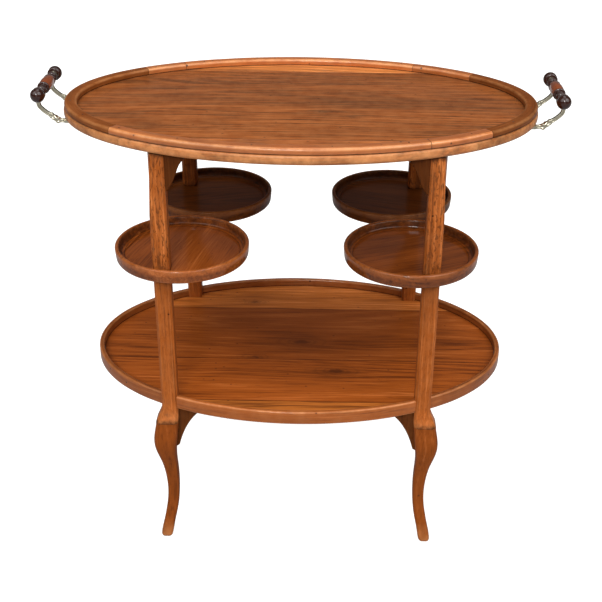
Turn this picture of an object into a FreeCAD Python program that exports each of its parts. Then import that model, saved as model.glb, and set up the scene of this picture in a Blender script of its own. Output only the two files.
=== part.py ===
import FreeCAD, Part
import math
import os

os.makedirs("parts", exist_ok=True)
Vec = FreeCAD.Vector

# Oval top board with a raised rim, half axes measured to the rim's outer edge
top_half_length = 385.0
top_half_depth = 240.0
rim_top_z = 747.0
rim_height = 10.5
rim_width = 21.0
rim_outer_round = 5.0
rim_inner_round = 4.5
rim_foot_round = 1.5
board_thickness = 16.5
board_overhang = 1.5
board_top_round = 5.0
board_bottom_round = 7.0
top_front_plank = 67.0
top_back_plank = 64.0
top_plank_names = ("front", "middle", "back")

# Butt joints of the rim, as angles round the oval in degrees
rim_piece_angles = {
    "right_end": (-39.75, 37.75),
    "back_right": (37.75, 58.0),
    "back": (58.0, 124.5),
    "back_left": (124.5, 137.5),
    "left_end": (137.5, 221.5),
    "front": (221.5, 301.25),
    "front_right": (301.25, 320.25),
}
rim_cut_reach = 40.0
rim_cut_steps = 12

# Nails that hold the rim on the board
nail_count = 20
nail_first_angle = 8.0
nail_radius = 0.9
nail_head_radius = 1.6
nail_head_depth = 1.2
nail_set = 0.3
nail_length = 20.0

# Square posts with chamfered corners, set in from the shelf's ends and proud of its rim
post_inset_x = 152.5
post_proud = 1.0
post_size = 27.0
post_chamfer = 4.0
post_below_shelf = 24.0
post_flare = 11.0
post_flare_height = 23.5
tenon_radius = 5.5
tenon_length = 8.0
tenon_setback = 5.0

# Pivot pins and the swing trays that turn on them
pin_radius = 5.0
pin_seat = 45.0
tray_pivot_from_rim = 34.0
tray_meeting_gap = 6.0
tray_height = 23.5
tray_floor = 9.0
tray_wall = 7.0
tray_foot_round = 6.0
tray_cove = 5.0
tray_front_top_z = 539.0
tray_back_drop = 10.0
tray_rest_angle = {
    "front_left": 72.0,
    "front_right": 112.0,
    "back_left": -51.0,
    "back_right": -129.0,
}

# Lower oval shelf and its upright rim, ends short of the top and sides past it
shelf_short_of_top = 20.5
shelf_past_top = 2.0
shelf_rim_top_z = 291.5
shelf_rim_height = 24.5
shelf_rim_width = 9.0
shelf_rim_round = 3.5
shelf_thickness = 10.0
shelf_middle_front_plank = 135.0
shelf_back_plank = 106.0
shelf_plank_names = ("front", "middle_front", "middle_back", "back")

# Cabriole feet: share of the foot's height, outward shift from the post axis, width over the post's
foot_curve = (
    (0.9, 8.6, 12.3),
    (0.81, 10.0, 9.8),
    (0.73, 8.9, 3.6),
    (0.61, 5.2, -3.1),
    (0.506, 3.15, -5.7),
    (0.395, 2.85, -7.3),
    (0.284, 4.85, -7.3),
    (0.173, 9.6, -7.25),
    (0.07, 15.0, -6.5),
    (0.02, 17.0, -8.0),
    (0.0, 17.5, -11.0),
)
foot_corner_ratio = 0.27
foot_dowel_radius = 6.0
foot_dowel_seat = 30.0

# Curved brackets: reach from the post, depth below the board, nose height
bracket_thickness = 18.0
upper_reach = 30.0
upper_depth = 61.0
upper_nose = 8.0
lower_reach = 50.0
lower_depth = 82.0
lower_nose = 4.0
lower_tip_width = 6.0
lower_setback = 4.0
lower_seam = 0.8

# Bracket screws, upright and level
screw_radius = 2.0
screw_head_radius = 4.0
screw_head_depth = 2.5
upper_screw_reach = 20.0
upper_screw_head_drop = 14.0
upper_screw_bite = 9.0
side_screw_drop = 43.0
side_screw_head_reach = 8.0
side_screw_bite = 15.0
lower_screw_reach = 30.0
lower_screw_head_drop = 14.0
lower_screw_bite = 7.0

# End handles: grip axis, cast arms, turned grip
grip_reach = 30.0
grip_rise = 16.7
arm_y = 47.0
arm_radius = 3.0
eye_radius = 7.0
eye_width = 7.0
tang_length = 44.0
tang_width = 15.0
tang_thickness = 4.0
tang_inset = 5.0
tang_overlap = 6.0
leaf_reach = 7.5
leaf_rise = 1.8
leaf_half_length = 9.0
leaf_radius = 4.8
rod_radius = 3.0
rod_past_ball = 1.5
barrel_radius = 10.6
barrel_end_radius = 7.0
barrel_waist_radius = 7.2
bead_radius = 2.2
bead_spacing = 5.0
ball_radius = 11.5
ball_past_arm = 15.0
finial_collar_radius = 8.2
finial_collar_width = 3.0
finial_neck_radius = 6.0
handle_screw_radius = 1.75
handle_screw_head_radius = 3.4
handle_screw_head_depth = 1.8
handle_screw_bite = 9.0
handle_screw_inset = 8.0
handle_screw_spacing = 20.0

# Clearances
press_clearance = 0.02
running_clearance = 0.06
turning_gap = 0.3
glue_gap = 0.3
end_gap = 0.5


def oval_y(half_length, half_depth, x):
    return half_depth * math.sqrt(1.0 - (x / half_length) ** 2)


# Derived levels
board_top_z = rim_top_z - rim_height
board_bottom_z = board_top_z - board_thickness
shelf_bottom_z = shelf_rim_top_z - shelf_rim_height
shelf_top_z = shelf_bottom_z + shelf_thickness
foot_top_z = shelf_bottom_z - post_below_shelf
lower_tip_z = shelf_bottom_z - lower_depth
grip_z = rim_top_z + grip_rise

# Derived places
shelf_half_length = top_half_length - shelf_short_of_top
shelf_half_depth = top_half_depth + shelf_past_top
shelf_inner_length = shelf_half_length - shelf_rim_width
shelf_inner_depth = shelf_half_depth - shelf_rim_width
post_face = post_size / 2.0
post_x = shelf_half_length - post_inset_x
post_inner_x = post_x - post_face
post_y = oval_y(shelf_half_length, shelf_half_depth, post_inner_x) + post_proud - post_face
cut_margin = post_size
foot_stations = [(foot_top_z, post_flare / 2.0, post_size + post_flare)]
foot_stations += [(foot_top_z * share, shift, post_size + growth) for share, shift, growth in foot_curve]
top_joints_y = (top_front_plank - top_half_depth, top_half_depth - top_back_plank)
shelf_front_joint_y = -oval_y(shelf_inner_length, shelf_inner_depth, post_x)
shelf_joints_y = (
    shelf_front_joint_y,
    shelf_front_joint_y + shelf_middle_front_plank,
    shelf_half_depth - shelf_back_plank,
)
grip_x = top_half_length + grip_reach
leaf_x = top_half_length + leaf_reach
tang_outer_x = top_half_length - tang_inset
ball_y = arm_y + ball_past_arm

# The largest trays that turn past each other with the meeting gap between them
tray_radius = (post_y - tray_meeting_gap + tray_pivot_from_rim) / 2.0
tray_pivot_offset = tray_radius - tray_pivot_from_rim

corners = {
    "front_left": (-1, -1),
    "front_right": (1, -1),
    "back_left": (-1, 1),
    "back_right": (1, 1),
}


def save(name, shape):
    shape.exportStep("parts/" + name + ".step")


def oval(half_length, half_depth, low_z, high_z):
    ring = Part.Ellipse(Vec(0, 0, low_z), half_length, half_depth).toShape()
    return Part.Face(Part.Wire(ring)).extrude(Vec(0, 0, high_z - low_z))


def prism(x0, x1, y0, y1, z0, z1):
    return Part.makeBox(x1 - x0, y1 - y0, z1 - z0, Vec(x0, y0, z0))


def rod(radius, start, end):
    along = end.sub(start)
    return Part.makeCylinder(radius, along.Length, start, along)


def edges_at(shape, z, half_length):
    found = []
    for edge in shape.Edges:
        box = edge.BoundBox
        level = abs(box.ZMin - z) < end_gap and abs(box.ZMax - z) < end_gap
        if level and abs(box.XMax - half_length) < end_gap:
            found.append(edge)
    return found


def screw(start, end, shank_radius, head_radius, head_depth):
    along = end.sub(start)
    shank = Part.makeCylinder(shank_radius, along.Length, start, along)
    head = Part.makeCone(head_radius, shank_radius, head_depth, start, along)
    return shank.fuse(head).removeSplitter()


def planks(slab, joints, reach):
    box = slab.BoundBox
    stops = (box.YMin - reach,) + tuple(joints) + (box.YMax + reach,)
    pieces = []
    for low_y, high_y in zip(stops[:-1], stops[1:]):
        cell = prism(box.XMin - reach, box.XMax + reach, low_y, high_y, box.ZMin - reach, box.ZMax + reach)
        pieces.append(slab.common(cell))
    return pieces


def rim_cell(half_length, half_depth, first, last, low_z, high_z):
    outer = []
    inner = []
    for step in range(rim_cut_steps + 1):
        turn = math.radians(first + (last - first) * step / rim_cut_steps)
        on_oval = Vec(half_length * math.cos(turn), half_depth * math.sin(turn), low_z)
        normal = Vec(math.cos(turn) / half_length, math.sin(turn) / half_depth, 0)
        normal.normalize()
        outer.append(on_oval.add(normal.multiply(rim_cut_reach)))
        inner.append(on_oval.sub(normal))
    outline = outer + inner[::-1]
    outline.append(outline[0])
    return Part.Face(Part.makePolygon(outline)).extrude(Vec(0, 0, high_z - low_z))


def post(x, y, low_z, high_z):
    body = prism(x - post_face, x + post_face, y - post_face, y + post_face, low_z, high_z)
    upright = [e for e in body.Edges if e.BoundBox.ZLength > post_size]
    return body.makeChamfer(post_chamfer, upright)


def rounded_square(x, y, z, width):
    half = width / 2.0
    radius = width * foot_corner_ratio
    flat = half - radius
    arc_mid = flat + radius * math.sqrt(0.5)
    edges = []
    for quarter in range(4):
        c = round(math.cos(quarter * math.pi / 2.0))
        s = round(math.sin(quarter * math.pi / 2.0))

        def at(u, v):
            return Vec(x + u * c - v * s, y + u * s + v * c, z)

        edges.append(Part.makeLine(at(half, -flat), at(half, flat)))
        edges.append(Part.Arc(at(half, flat), at(arc_mid, arc_mid), at(flat, half)).toShape())
    return Part.Wire(edges)


def foot_inner_reach(z):
    for above, below in zip(foot_stations[:-1], foot_stations[1:]):
        if below[0] <= z <= above[0]:
            part = (above[0] - z) / (above[0] - below[0])
            shift = above[1] + (below[1] - above[1]) * part
            width = above[2] + (below[2] - above[2]) * part
            return shift - width / 2.0 + post_face - lower_seam
    return 0.0


def bracket(side_x, y, outline, curve_poles):
    points = [Vec(side_x * (post_inner_x - u), y - bracket_thickness / 2.0, z) for u, z in outline]
    poles = [Vec(side_x * (post_inner_x - u), y - bracket_thickness / 2.0, z) for u, z in curve_poles]
    curve = Part.BezierCurve()
    curve.setPoles(poles)
    edges = [Part.makeLine(a, b) for a, b in zip(points[:-1], points[1:])]
    edges.append(curve.toShape())
    return Part.Face(Part.Wire(edges)).extrude(Vec(0, bracket_thickness, 0))


def turned(profile, axis_x, axis_z):
    points = [Vec(axis_x + r, y, axis_z) for y, r in profile]
    points.append(points[0])
    face = Part.Face(Part.makePolygon(points))
    return face.revolve(Vec(axis_x, 0, axis_z), Vec(0, 1, 0), 360)


def bead(axis_x, y, axis_z, ring_radius):
    return Part.makeTorus(ring_radius, bead_radius, Vec(axis_x, y, axis_z), Vec(0, 1, 0))


def to_right(shape):
    return shape.mirror(Vec(0, 0, 0), Vec(1, 0, 0))


# Swing tray turned from one disc, then bored for its pin
def swing_tray(pivot_x, pivot_y, angle, top_z):
    turn = math.radians(angle)
    centre_x = pivot_x + tray_pivot_offset * math.cos(turn)
    centre_y = pivot_y + tray_pivot_offset * math.sin(turn)
    bottom_z = top_z - tray_height
    disc = Part.makeCylinder(tray_radius, tray_height, Vec(centre_x, centre_y, bottom_z))
    hollow = Part.makeCylinder(tray_radius - tray_wall, tray_height, Vec(centre_x, centre_y, bottom_z + tray_floor))
    cove = [e for e in hollow.Edges if e.BoundBox.ZMax < bottom_z + tray_floor + end_gap]
    hollow = hollow.makeFillet(tray_cove, cove)
    dish = disc.cut(hollow)
    lip_round = tray_wall / 2.0 - end_gap
    lip = [e for e in dish.Edges if e.BoundBox.ZMin > top_z - end_gap]
    dish = dish.makeFillet(lip_round, lip)
    sole = [e for e in dish.Edges if e.BoundBox.ZMax < bottom_z + end_gap and e.BoundBox.XLength > tray_radius]
    dish = dish.makeFillet(tray_foot_round, sole)
    bore_start = Vec(pivot_x, pivot_y, bottom_z - end_gap)
    bore_end = Vec(pivot_x, pivot_y, bottom_z + tray_floor + end_gap)
    return dish.cut(rod(pin_radius + running_clearance, bore_start, bore_end))


# Nails down through the rim into the board
rim_mid_length = top_half_length - rim_width / 2.0
rim_mid_depth = top_half_depth - rim_width / 2.0
nails = []
nail_holes = []
for index in range(nail_count):
    turn = math.radians(nail_first_angle + index * 360.0 / nail_count)
    nail_x = rim_mid_length * math.cos(turn)
    nail_y = rim_mid_depth * math.sin(turn)
    nail_top = Vec(nail_x, nail_y, rim_top_z - nail_set)
    nail_tip = Vec(nail_x, nail_y, rim_top_z - nail_set - nail_length)
    head_end = Vec(nail_x, nail_y, rim_top_z - nail_set - nail_head_depth)
    head = rod(nail_head_radius, nail_top, head_end)
    nails.append(head.fuse(rod(nail_radius, head_end, nail_tip)).removeSplitter())
    open_top = Vec(nail_x, nail_y, rim_top_z + end_gap)
    nail_holes.append(rod(nail_head_radius + press_clearance, open_top, head_end))
    nail_holes.append(rod(nail_radius + press_clearance, head_end, nail_tip.sub(Vec(0, 0, end_gap))))
save("rim_nails", Part.makeCompound(nails))

# Upper brackets, their screws and the holes that take them
screws = []
board_holes = []
shelf_holes = []
post_holes = {}
for name, (side_x, side_y) in corners.items():
    y = side_y * post_y
    foot_z = board_bottom_z - upper_depth
    nose_z = board_bottom_z - upper_nose
    outline = ((0.0, foot_z), (0.0, board_bottom_z), (upper_reach, board_bottom_z), (upper_reach, nose_z))
    poles = (
        (upper_reach, nose_z),
        (upper_reach * 0.55, nose_z - upper_depth * 0.15),
        (upper_reach * 0.62, nose_z - upper_depth * 0.55),
        (0.0, foot_z),
    )
    ear = bracket(side_x, y, outline, poles)

    screw_x = side_x * (post_inner_x - upper_screw_reach)
    head_z = board_bottom_z - upper_screw_head_drop
    up_start = Vec(screw_x, y, head_z)
    up_end = Vec(screw_x, y, board_bottom_z + upper_screw_bite)
    screws.append(screw(up_start, up_end, screw_radius, screw_head_radius, screw_head_depth))
    up_past = up_end.add(Vec(0, 0, end_gap))
    up_hole = screw(up_start, up_past, screw_radius + press_clearance, screw_head_radius + press_clearance,
                    screw_head_depth)
    board_holes.append(up_hole)
    well = rod(screw_head_radius + press_clearance, up_start, Vec(screw_x, y, foot_z))
    ear = ear.cut(up_hole).cut(well)

    side_z = board_bottom_z - side_screw_drop
    side_start = Vec(side_x * (post_inner_x - side_screw_head_reach), y, side_z)
    side_end = Vec(side_x * (post_inner_x + side_screw_bite), y, side_z)
    screws.append(screw(side_start, side_end, screw_radius, screw_head_radius, screw_head_depth))
    side_past = side_end.add(Vec(side_x * end_gap, 0, 0))
    side_hole = screw(side_start, side_past, screw_radius + press_clearance,
                      screw_head_radius + press_clearance, screw_head_depth)
    post_holes[name] = side_hole
    side_well = rod(screw_head_radius + press_clearance, side_start,
                    Vec(side_x * (post_inner_x - upper_reach), y, side_z))
    save("upper_bracket_" + name, ear.cut(side_hole).cut(side_well))

# Lower brackets under the shelf, set back from the face of the post
for name, (side_x, side_y) in corners.items():
    y = side_y * (post_y - lower_setback)
    tip_u = -foot_inner_reach(lower_tip_z)
    outline = [(tip_u + lower_tip_width, lower_tip_z), (tip_u, lower_tip_z)]
    for station in foot_stations[::-1]:
        if lower_tip_z < station[0] < foot_top_z:
            outline.append((-foot_inner_reach(station[0]), station[0]))
    outline += [(lower_seam, foot_top_z), (0.0, foot_top_z + lower_seam), (0.0, shelf_bottom_z)]
    outline += [(lower_reach, shelf_bottom_z), (lower_reach, shelf_bottom_z - lower_nose)]
    poles = (
        (lower_reach, shelf_bottom_z - lower_nose),
        (lower_reach * 0.56, shelf_bottom_z - lower_reach * 0.42),
        (lower_reach * 0.1, shelf_bottom_z - lower_reach * 0.9),
        (tip_u + lower_tip_width, lower_tip_z),
    )
    knee = bracket(side_x, y, outline, poles)
    screw_x = side_x * (post_inner_x - lower_screw_reach)
    up_start = Vec(screw_x, y, shelf_bottom_z - lower_screw_head_drop)
    up_end = Vec(screw_x, y, shelf_bottom_z + lower_screw_bite)
    screws.append(screw(up_start, up_end, screw_radius, screw_head_radius, screw_head_depth))
    up_past = up_end.add(Vec(0, 0, end_gap))
    up_hole = screw(up_start, up_past, screw_radius + press_clearance, screw_head_radius + press_clearance,
                    screw_head_depth)
    shelf_holes.append(up_hole)
    well = rod(screw_head_radius + press_clearance, up_start, Vec(screw_x, y, lower_tip_z))
    save("lower_bracket_" + name, knee.cut(up_hole).cut(well))
save("bracket_screws", Part.makeCompound(screws))

# Posts in two lengths, pivot pins, feet, dowels and swing trays
pins = []
dowels = []
for name, (side_x, side_y) in corners.items():
    x = side_x * post_x
    y = side_y * post_y
    tray_top = tray_front_top_z if side_y < 0 else tray_front_top_z - tray_back_drop
    tray_bottom = tray_top - tray_height
    post_gap_z = tray_bottom + tray_floor + turning_gap
    pin_low = tray_bottom - pin_seat
    pin_high = post_gap_z + pin_seat
    pins.append(rod(pin_radius, Vec(x, y, pin_low), Vec(x, y, pin_high)))
    pin_hole = rod(pin_radius + press_clearance, Vec(x, y, pin_low - end_gap), Vec(x, y, pin_high + end_gap))
    save("swing_tray_" + name, swing_tray(x, y, tray_rest_angle[name], tray_top))

    tenon_y = y - side_y * tenon_setback
    tenon_low = Vec(x, tenon_y, board_bottom_z - end_gap)
    tenon = rod(tenon_radius, tenon_low, Vec(x, tenon_y, board_bottom_z + tenon_length))
    upper = post(x, y, post_gap_z, board_bottom_z).fuse(tenon).removeSplitter()
    save("upper_post_" + name, upper.cut(pin_hole).cut(post_holes[name]))
    board_holes.append(rod(tenon_radius + press_clearance, tenon_low,
                           Vec(x, tenon_y, board_bottom_z + tenon_length + end_gap)))

    dowel_low = Vec(x, y, foot_top_z - foot_dowel_seat)
    dowel_high = Vec(x, y, foot_top_z + foot_dowel_seat)
    dowels.append(rod(foot_dowel_radius, dowel_low, dowel_high))
    dowel_hole = rod(foot_dowel_radius + press_clearance, dowel_low.sub(Vec(0, 0, end_gap)),
                     dowel_high.add(Vec(0, 0, end_gap)))
    flare_top_z = foot_top_z + post_flare_height
    shift = post_flare / 2.0
    flare = Part.makeLoft([
        rounded_square(x, y, flare_top_z, post_size),
        rounded_square(x + side_x * shift, y + side_y * shift, foot_top_z, post_size + post_flare),
    ], True, True)
    lower = post(x, y, flare_top_z, tray_bottom).fuse(flare)
    save("lower_post_" + name, lower.cut(pin_hole).cut(dowel_hole))

    wires = []
    for z, shift, width in foot_stations:
        wires.append(rounded_square(x + side_x * shift, y + side_y * shift, z, width))
    save("cabriole_foot_" + name, Part.makeLoft(wires, True, False).cut(dowel_hole))
save("pivot_pins", Part.makeCompound(pins))
save("foot_dowels", Part.makeCompound(dowels))

# Shelf planks and the rim pieces between the posts
notches = []
for side_x, side_y in corners.values():
    x = side_x * post_x
    y = side_y * post_y
    notches.append(prism(x - post_face, x + post_face, y - post_face, y + post_face,
                         shelf_bottom_z - cut_margin, shelf_rim_top_z + cut_margin))
shelf = oval(shelf_inner_length - glue_gap, shelf_inner_depth - glue_gap, shelf_bottom_z, shelf_top_z)
shelf = shelf.cut(notches + shelf_holes)
for name, piece in zip(shelf_plank_names, planks(shelf, shelf_joints_y, cut_margin)):
    save("shelf_plank_" + name, piece)

shelf_ring = oval(shelf_half_length, shelf_half_depth, shelf_bottom_z, shelf_rim_top_z)
shelf_ring = shelf_ring.cut(oval(shelf_inner_length, shelf_inner_depth, shelf_bottom_z, shelf_rim_top_z))
shelf_edges = edges_at(shelf_ring, shelf_rim_top_z, shelf_half_length)
shelf_edges += edges_at(shelf_ring, shelf_rim_top_z, shelf_inner_length)
shelf_edges += edges_at(shelf_ring, shelf_bottom_z, shelf_half_length)
shelf_ring = shelf_ring.makeFillet(shelf_rim_round, shelf_edges).cut(notches)
for piece in shelf_ring.Solids:
    middle = piece.BoundBox.Center
    if abs(middle.x) > abs(middle.y):
        side = "right" if middle.x > 0 else "left"
    else:
        side = "back" if middle.y > 0 else "front"
    save("shelf_rim_" + side, piece)

# Left end handle, then the right one as its mirror image
axis_x = -grip_x
handle_pieces = {}
handle_screws = []
handle_holes = []
barrel_end = arm_y - eye_width / 2.0 - end_gap
ring_ys = (barrel_end - bead_spacing, barrel_end - 2.0 * bead_spacing)
half_profile = (
    (barrel_end, barrel_end_radius),
    (ring_ys[1] - bead_spacing, barrel_waist_radius),
    (ring_ys[1] / 2.0, barrel_radius),
)
profile = [(-barrel_end, 0.0)] + [(-y, r) for y, r in half_profile]
profile += list(half_profile[::-1]) + [(barrel_end, 0.0)]
barrel = turned(profile, axis_x, grip_z)
for ring_y in ring_ys:
    for side_y in (-1, 1):
        barrel = barrel.fuse(bead(axis_x, side_y * ring_y, grip_z, barrel_end_radius))
rod_half = Vec(0, ball_y + rod_past_ball, 0)
grip_centre = Vec(axis_x, 0, grip_z)
rod_hole = rod(rod_radius + press_clearance, grip_centre.sub(rod_half).sub(Vec(0, end_gap, 0)),
               grip_centre.add(rod_half).add(Vec(0, end_gap, 0)))
handle_pieces["grip_barrel_{}"] = barrel.cut(rod_hole)
handle_pieces["handle_rod_{}"] = rod(rod_radius, grip_centre.sub(rod_half), grip_centre.add(rod_half))

tang_z = board_bottom_z - tang_thickness / 2.0
spine_points = (
    (tang_outer_x - tang_overlap, tang_z),
    (tang_outer_x, tang_z),
    (leaf_x, tang_z + leaf_rise),
    (grip_x - 2.4 * eye_radius, tang_z + 1.1 * eye_radius),
    (grip_x - eye_radius, tang_z + 2.0 * eye_radius),
    (grip_x + 0.3 * eye_radius, tang_z + 3.3 * eye_radius),
    (grip_x + 0.5 * eye_radius, grip_z - 2.0 * eye_radius),
    (grip_x, grip_z - eye_radius / 2.0),
)
for end, side_y in (("front", -1), ("back", 1)):
    y = side_y * arm_y
    collar_y = arm_y + eye_width / 2.0 + end_gap
    ball = Part.makeSphere(ball_radius, Vec(axis_x, side_y * ball_y, grip_z))
    collar = rod(finial_collar_radius, Vec(axis_x, side_y * collar_y, grip_z),
                 Vec(axis_x, side_y * (collar_y + finial_collar_width), grip_z))
    neck = rod(finial_neck_radius, Vec(axis_x, side_y * collar_y, grip_z),
               Vec(axis_x, side_y * ball_y, grip_z))
    handle_pieces["grip_finial_{}_" + end] = ball.fuse([collar, neck]).removeSplitter().cut(rod_hole)

    spine = Part.BSplineCurve()
    spine.interpolate([Vec(-x, y, z) for x, z in spine_points])
    section = Part.Wire(Part.makeCircle(arm_radius, spine.value(spine.FirstParameter),
                                        spine.tangent(spine.FirstParameter)[0]))
    stem = Part.Wire(spine.toShape()).makePipe(Part.Face(section))
    tang = prism(-tang_outer_x, tang_length - tang_outer_x, y - tang_width / 2.0, y + tang_width / 2.0,
                 board_bottom_z - tang_thickness, board_bottom_z)
    leaf_centre = Vec(-leaf_x, y, tang_z + leaf_rise)
    leaf_end = Vec(leaf_half_length, 0, 0)
    bulge = Part.Arc(leaf_centre.sub(leaf_end), leaf_centre.add(Vec(0, 0, leaf_radius)), leaf_centre.add(leaf_end))
    chord = Part.makeLine(leaf_centre.add(leaf_end), leaf_centre.sub(leaf_end))
    leaf = Part.Face(Part.Wire([bulge.toShape(), chord])).revolve(leaf_centre, Vec(1, 0, 0), 360)
    eye = rod(eye_radius, Vec(axis_x, y - eye_width / 2.0, grip_z), Vec(axis_x, y + eye_width / 2.0, grip_z))
    arm = stem.fuse([tang, leaf, eye]).cut(rod_hole)
    for index in range(2):
        screw_x = tang_length - tang_outer_x - handle_screw_inset - index * handle_screw_spacing
        up_start = Vec(screw_x, y, board_bottom_z - tang_thickness)
        up_end = Vec(screw_x, y, board_bottom_z + handle_screw_bite)
        handle_screws.append(screw(up_start, up_end, handle_screw_radius, handle_screw_head_radius,
                                   handle_screw_head_depth))
        hole = screw(up_start, up_end.add(Vec(0, 0, end_gap)), handle_screw_radius + press_clearance,
                     handle_screw_head_radius + press_clearance, handle_screw_head_depth)
        arm = arm.cut(hole)
        handle_holes.append(hole)
    handle_pieces["handle_arm_{}_" + end] = arm
for name, piece in handle_pieces.items():
    save(name.format("left"), piece)
    save(name.format("right"), to_right(piece))
board_holes += handle_holes + [to_right(hole) for hole in handle_holes]
save("handle_screws", Part.makeCompound(handle_screws + [to_right(piece) for piece in handle_screws]))

# Top board planks
board_length = top_half_length + board_overhang
board_depth = top_half_depth + board_overhang
board = oval(board_length, board_depth, board_bottom_z, board_top_z)
board = board.makeFillet(board_bottom_round, edges_at(board, board_bottom_z, board_length))
board = board.makeFillet(board_top_round, edges_at(board, board_top_z, board_length))
board = board.cut(board_holes + nail_holes)
for name, piece in zip(top_plank_names, planks(board, top_joints_y, cut_margin)):
    save("top_plank_" + name, piece)

# Rim pieces on the board
ring_inner_length = top_half_length - rim_width
ring_inner_depth = top_half_depth - rim_width
ring = oval(top_half_length, top_half_depth, board_top_z, rim_top_z)
ring = ring.cut(oval(ring_inner_length, ring_inner_depth, board_top_z, rim_top_z))
ring = ring.makeFillet(rim_foot_round, edges_at(ring, board_top_z, top_half_length))
ring = ring.makeFillet(rim_outer_round, edges_at(ring, rim_top_z, top_half_length))
ring = ring.makeFillet(rim_inner_round, edges_at(ring, rim_top_z, ring_inner_length))
ring = ring.cut(nail_holes)
for name, (first, last) in rim_piece_angles.items():
    cell = rim_cell(rim_mid_length, rim_mid_depth, first, last, board_top_z - end_gap, rim_top_z + end_gap)
    save("top_rim_" + name, ring.common(cell))
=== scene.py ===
import bmesh
import bpy
from math import acos, asin, cos, exp, pi, radians, sin, sqrt, tan
from mathutils import Matrix, Vector, noise


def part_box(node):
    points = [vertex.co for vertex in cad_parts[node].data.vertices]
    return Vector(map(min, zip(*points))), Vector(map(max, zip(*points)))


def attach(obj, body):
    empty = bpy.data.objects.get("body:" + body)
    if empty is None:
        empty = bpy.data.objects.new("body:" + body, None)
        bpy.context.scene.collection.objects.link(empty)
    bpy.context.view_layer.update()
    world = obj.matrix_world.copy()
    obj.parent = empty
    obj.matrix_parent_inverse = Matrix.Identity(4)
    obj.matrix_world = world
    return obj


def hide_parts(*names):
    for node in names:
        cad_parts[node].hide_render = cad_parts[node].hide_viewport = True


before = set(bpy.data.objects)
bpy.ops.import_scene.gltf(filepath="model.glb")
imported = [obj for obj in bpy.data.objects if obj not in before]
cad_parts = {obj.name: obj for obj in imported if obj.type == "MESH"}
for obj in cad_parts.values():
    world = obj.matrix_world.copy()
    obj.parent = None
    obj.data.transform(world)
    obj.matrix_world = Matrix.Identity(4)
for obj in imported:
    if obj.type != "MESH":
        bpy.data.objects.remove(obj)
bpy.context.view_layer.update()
scene = bpy.context.scene
print("frame loaded with", len(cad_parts), "nodes")


# Small helpers for shader trees: a node goes into the tree of the sockets that it is given

def newNode(kind, *values):
    tree = next(value.id_data for value in values if isinstance(value, bpy.types.NodeSocket))
    return tree.nodes.new("ShaderNode" + kind)


def feed(node, values):  # a socket is linked, anything else becomes the default
    for label, value in values.items():
        if isinstance(value, bpy.types.NodeSocket):
            node.id_data.links.new(value, node.inputs[label])
        else:
            node.inputs[label].default_value = value


def addMath(operation, first, second=0.0, clamp=False):
    node = newNode("Math", first, second)
    node.operation = operation
    node.use_clamp = clamp
    feed(node, {0: first, 1: second})
    return node.outputs[0]


def plus(first, second, clamp=False):
    return addMath("ADD", first, second, clamp)


def minus(first, second):
    return addMath("SUBTRACT", first, second)


def times(first, second, clamp=False):
    return addMath("MULTIPLY", first, second, clamp)


def addVector(operation, first, second):
    node = newNode("VectorMath", first, second)
    node.operation = operation
    feed(node, {0: first, "Scale" if operation == "SCALE" else 1: second})
    return node.outputs["Value" if operation == "DOT_PRODUCT" else "Vector"]


def addNoise(place, scale, detail=2.0, rough=0.5, output="Fac"):  # three scales stretch the place first
    if isinstance(scale, tuple):
        place = addVector("MULTIPLY", place, scale)
        scale = 1.0
    node = newNode("TexNoise", place)
    feed(node, {"Vector": place, "Scale": scale, "Detail": detail, "Roughness": rough})
    return node.outputs[output]


def addSway(place, scale, detail, reach):  # the place, moved about by a noise
    color = addNoise(place, scale, detail, output="Color")
    sway = addVector("MULTIPLY", addVector("SUBTRACT", color, (0.5, 0.5, 0.5)), reach)
    return addVector("ADD", place, sway)


def addSwing(value, size):  # a value about one half, made to swing about nought
    return times(minus(value, 0.5), size)


def addRange(value, low, high, newLow=0.0, newHigh=1.0, smooth=False):
    node = newNode("MapRange", value)
    node.interpolation_type = "SMOOTHSTEP" if smooth else "LINEAR"
    feed(node, {"Value": value, "From Min": low, "From Max": high, "To Min": newLow, "To Max": newHigh})
    return node.outputs["Result"]


def addMix(factor, first, second):
    node = newNode("Mix", factor)
    node.data_type = "RGBA"
    feed(node, {"Factor": factor, "A": first, "B": second})
    return node.outputs["Result"]


def newGroup(name, inputs, outputs=("Mask",)):  # an input is a kind of socket, or a number to start from
    tree = bpy.data.node_groups.new(name, "ShaderNodeTree")
    for label, start in inputs.items():
        kind = start if isinstance(start, str) else "Float"
        socket = tree.interface.new_socket(label, in_out="INPUT", socket_type="NodeSocket" + kind)
        if kind == "Float":
            socket.default_value = start
    for label in outputs:
        kind = "Color" if label == "Color" else "Float"
        tree.interface.new_socket(label, in_out="OUTPUT", socket_type="NodeSocket" + kind)
    return tree, tree.nodes.new("NodeGroupInput").outputs, tree.nodes.new("NodeGroupOutput")


def placeGroup(group, values):
    node = newNode("Group", *values.values())
    node.node_tree = group
    feed(node, values)
    return node.outputs


# Walnut figure: the grain runs along X of its place, in metres, and scales are along and across it
walnutGrain = {
    "drift": (1.7, 0.9, 2.3), "swayScale": (2.2, 5.0, 5.0), "sway": (0.0, 0.03, 0.03),
    "ringScale": (0.7, 9.0, 9.0), "ringPower": 1.6, "broadScale": (0.9, 18.0, 18.0),
    "fibreScale": (9.0, 330.0, 330.0), "poreScale": (45.0, 800.0, 800.0), "poreRange": (0.62, 0.74),
    "poreDepth": 0.45, "broadShare": 0.8, "ringShare": 0.18, "fibreShare": 0.9,
}


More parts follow.
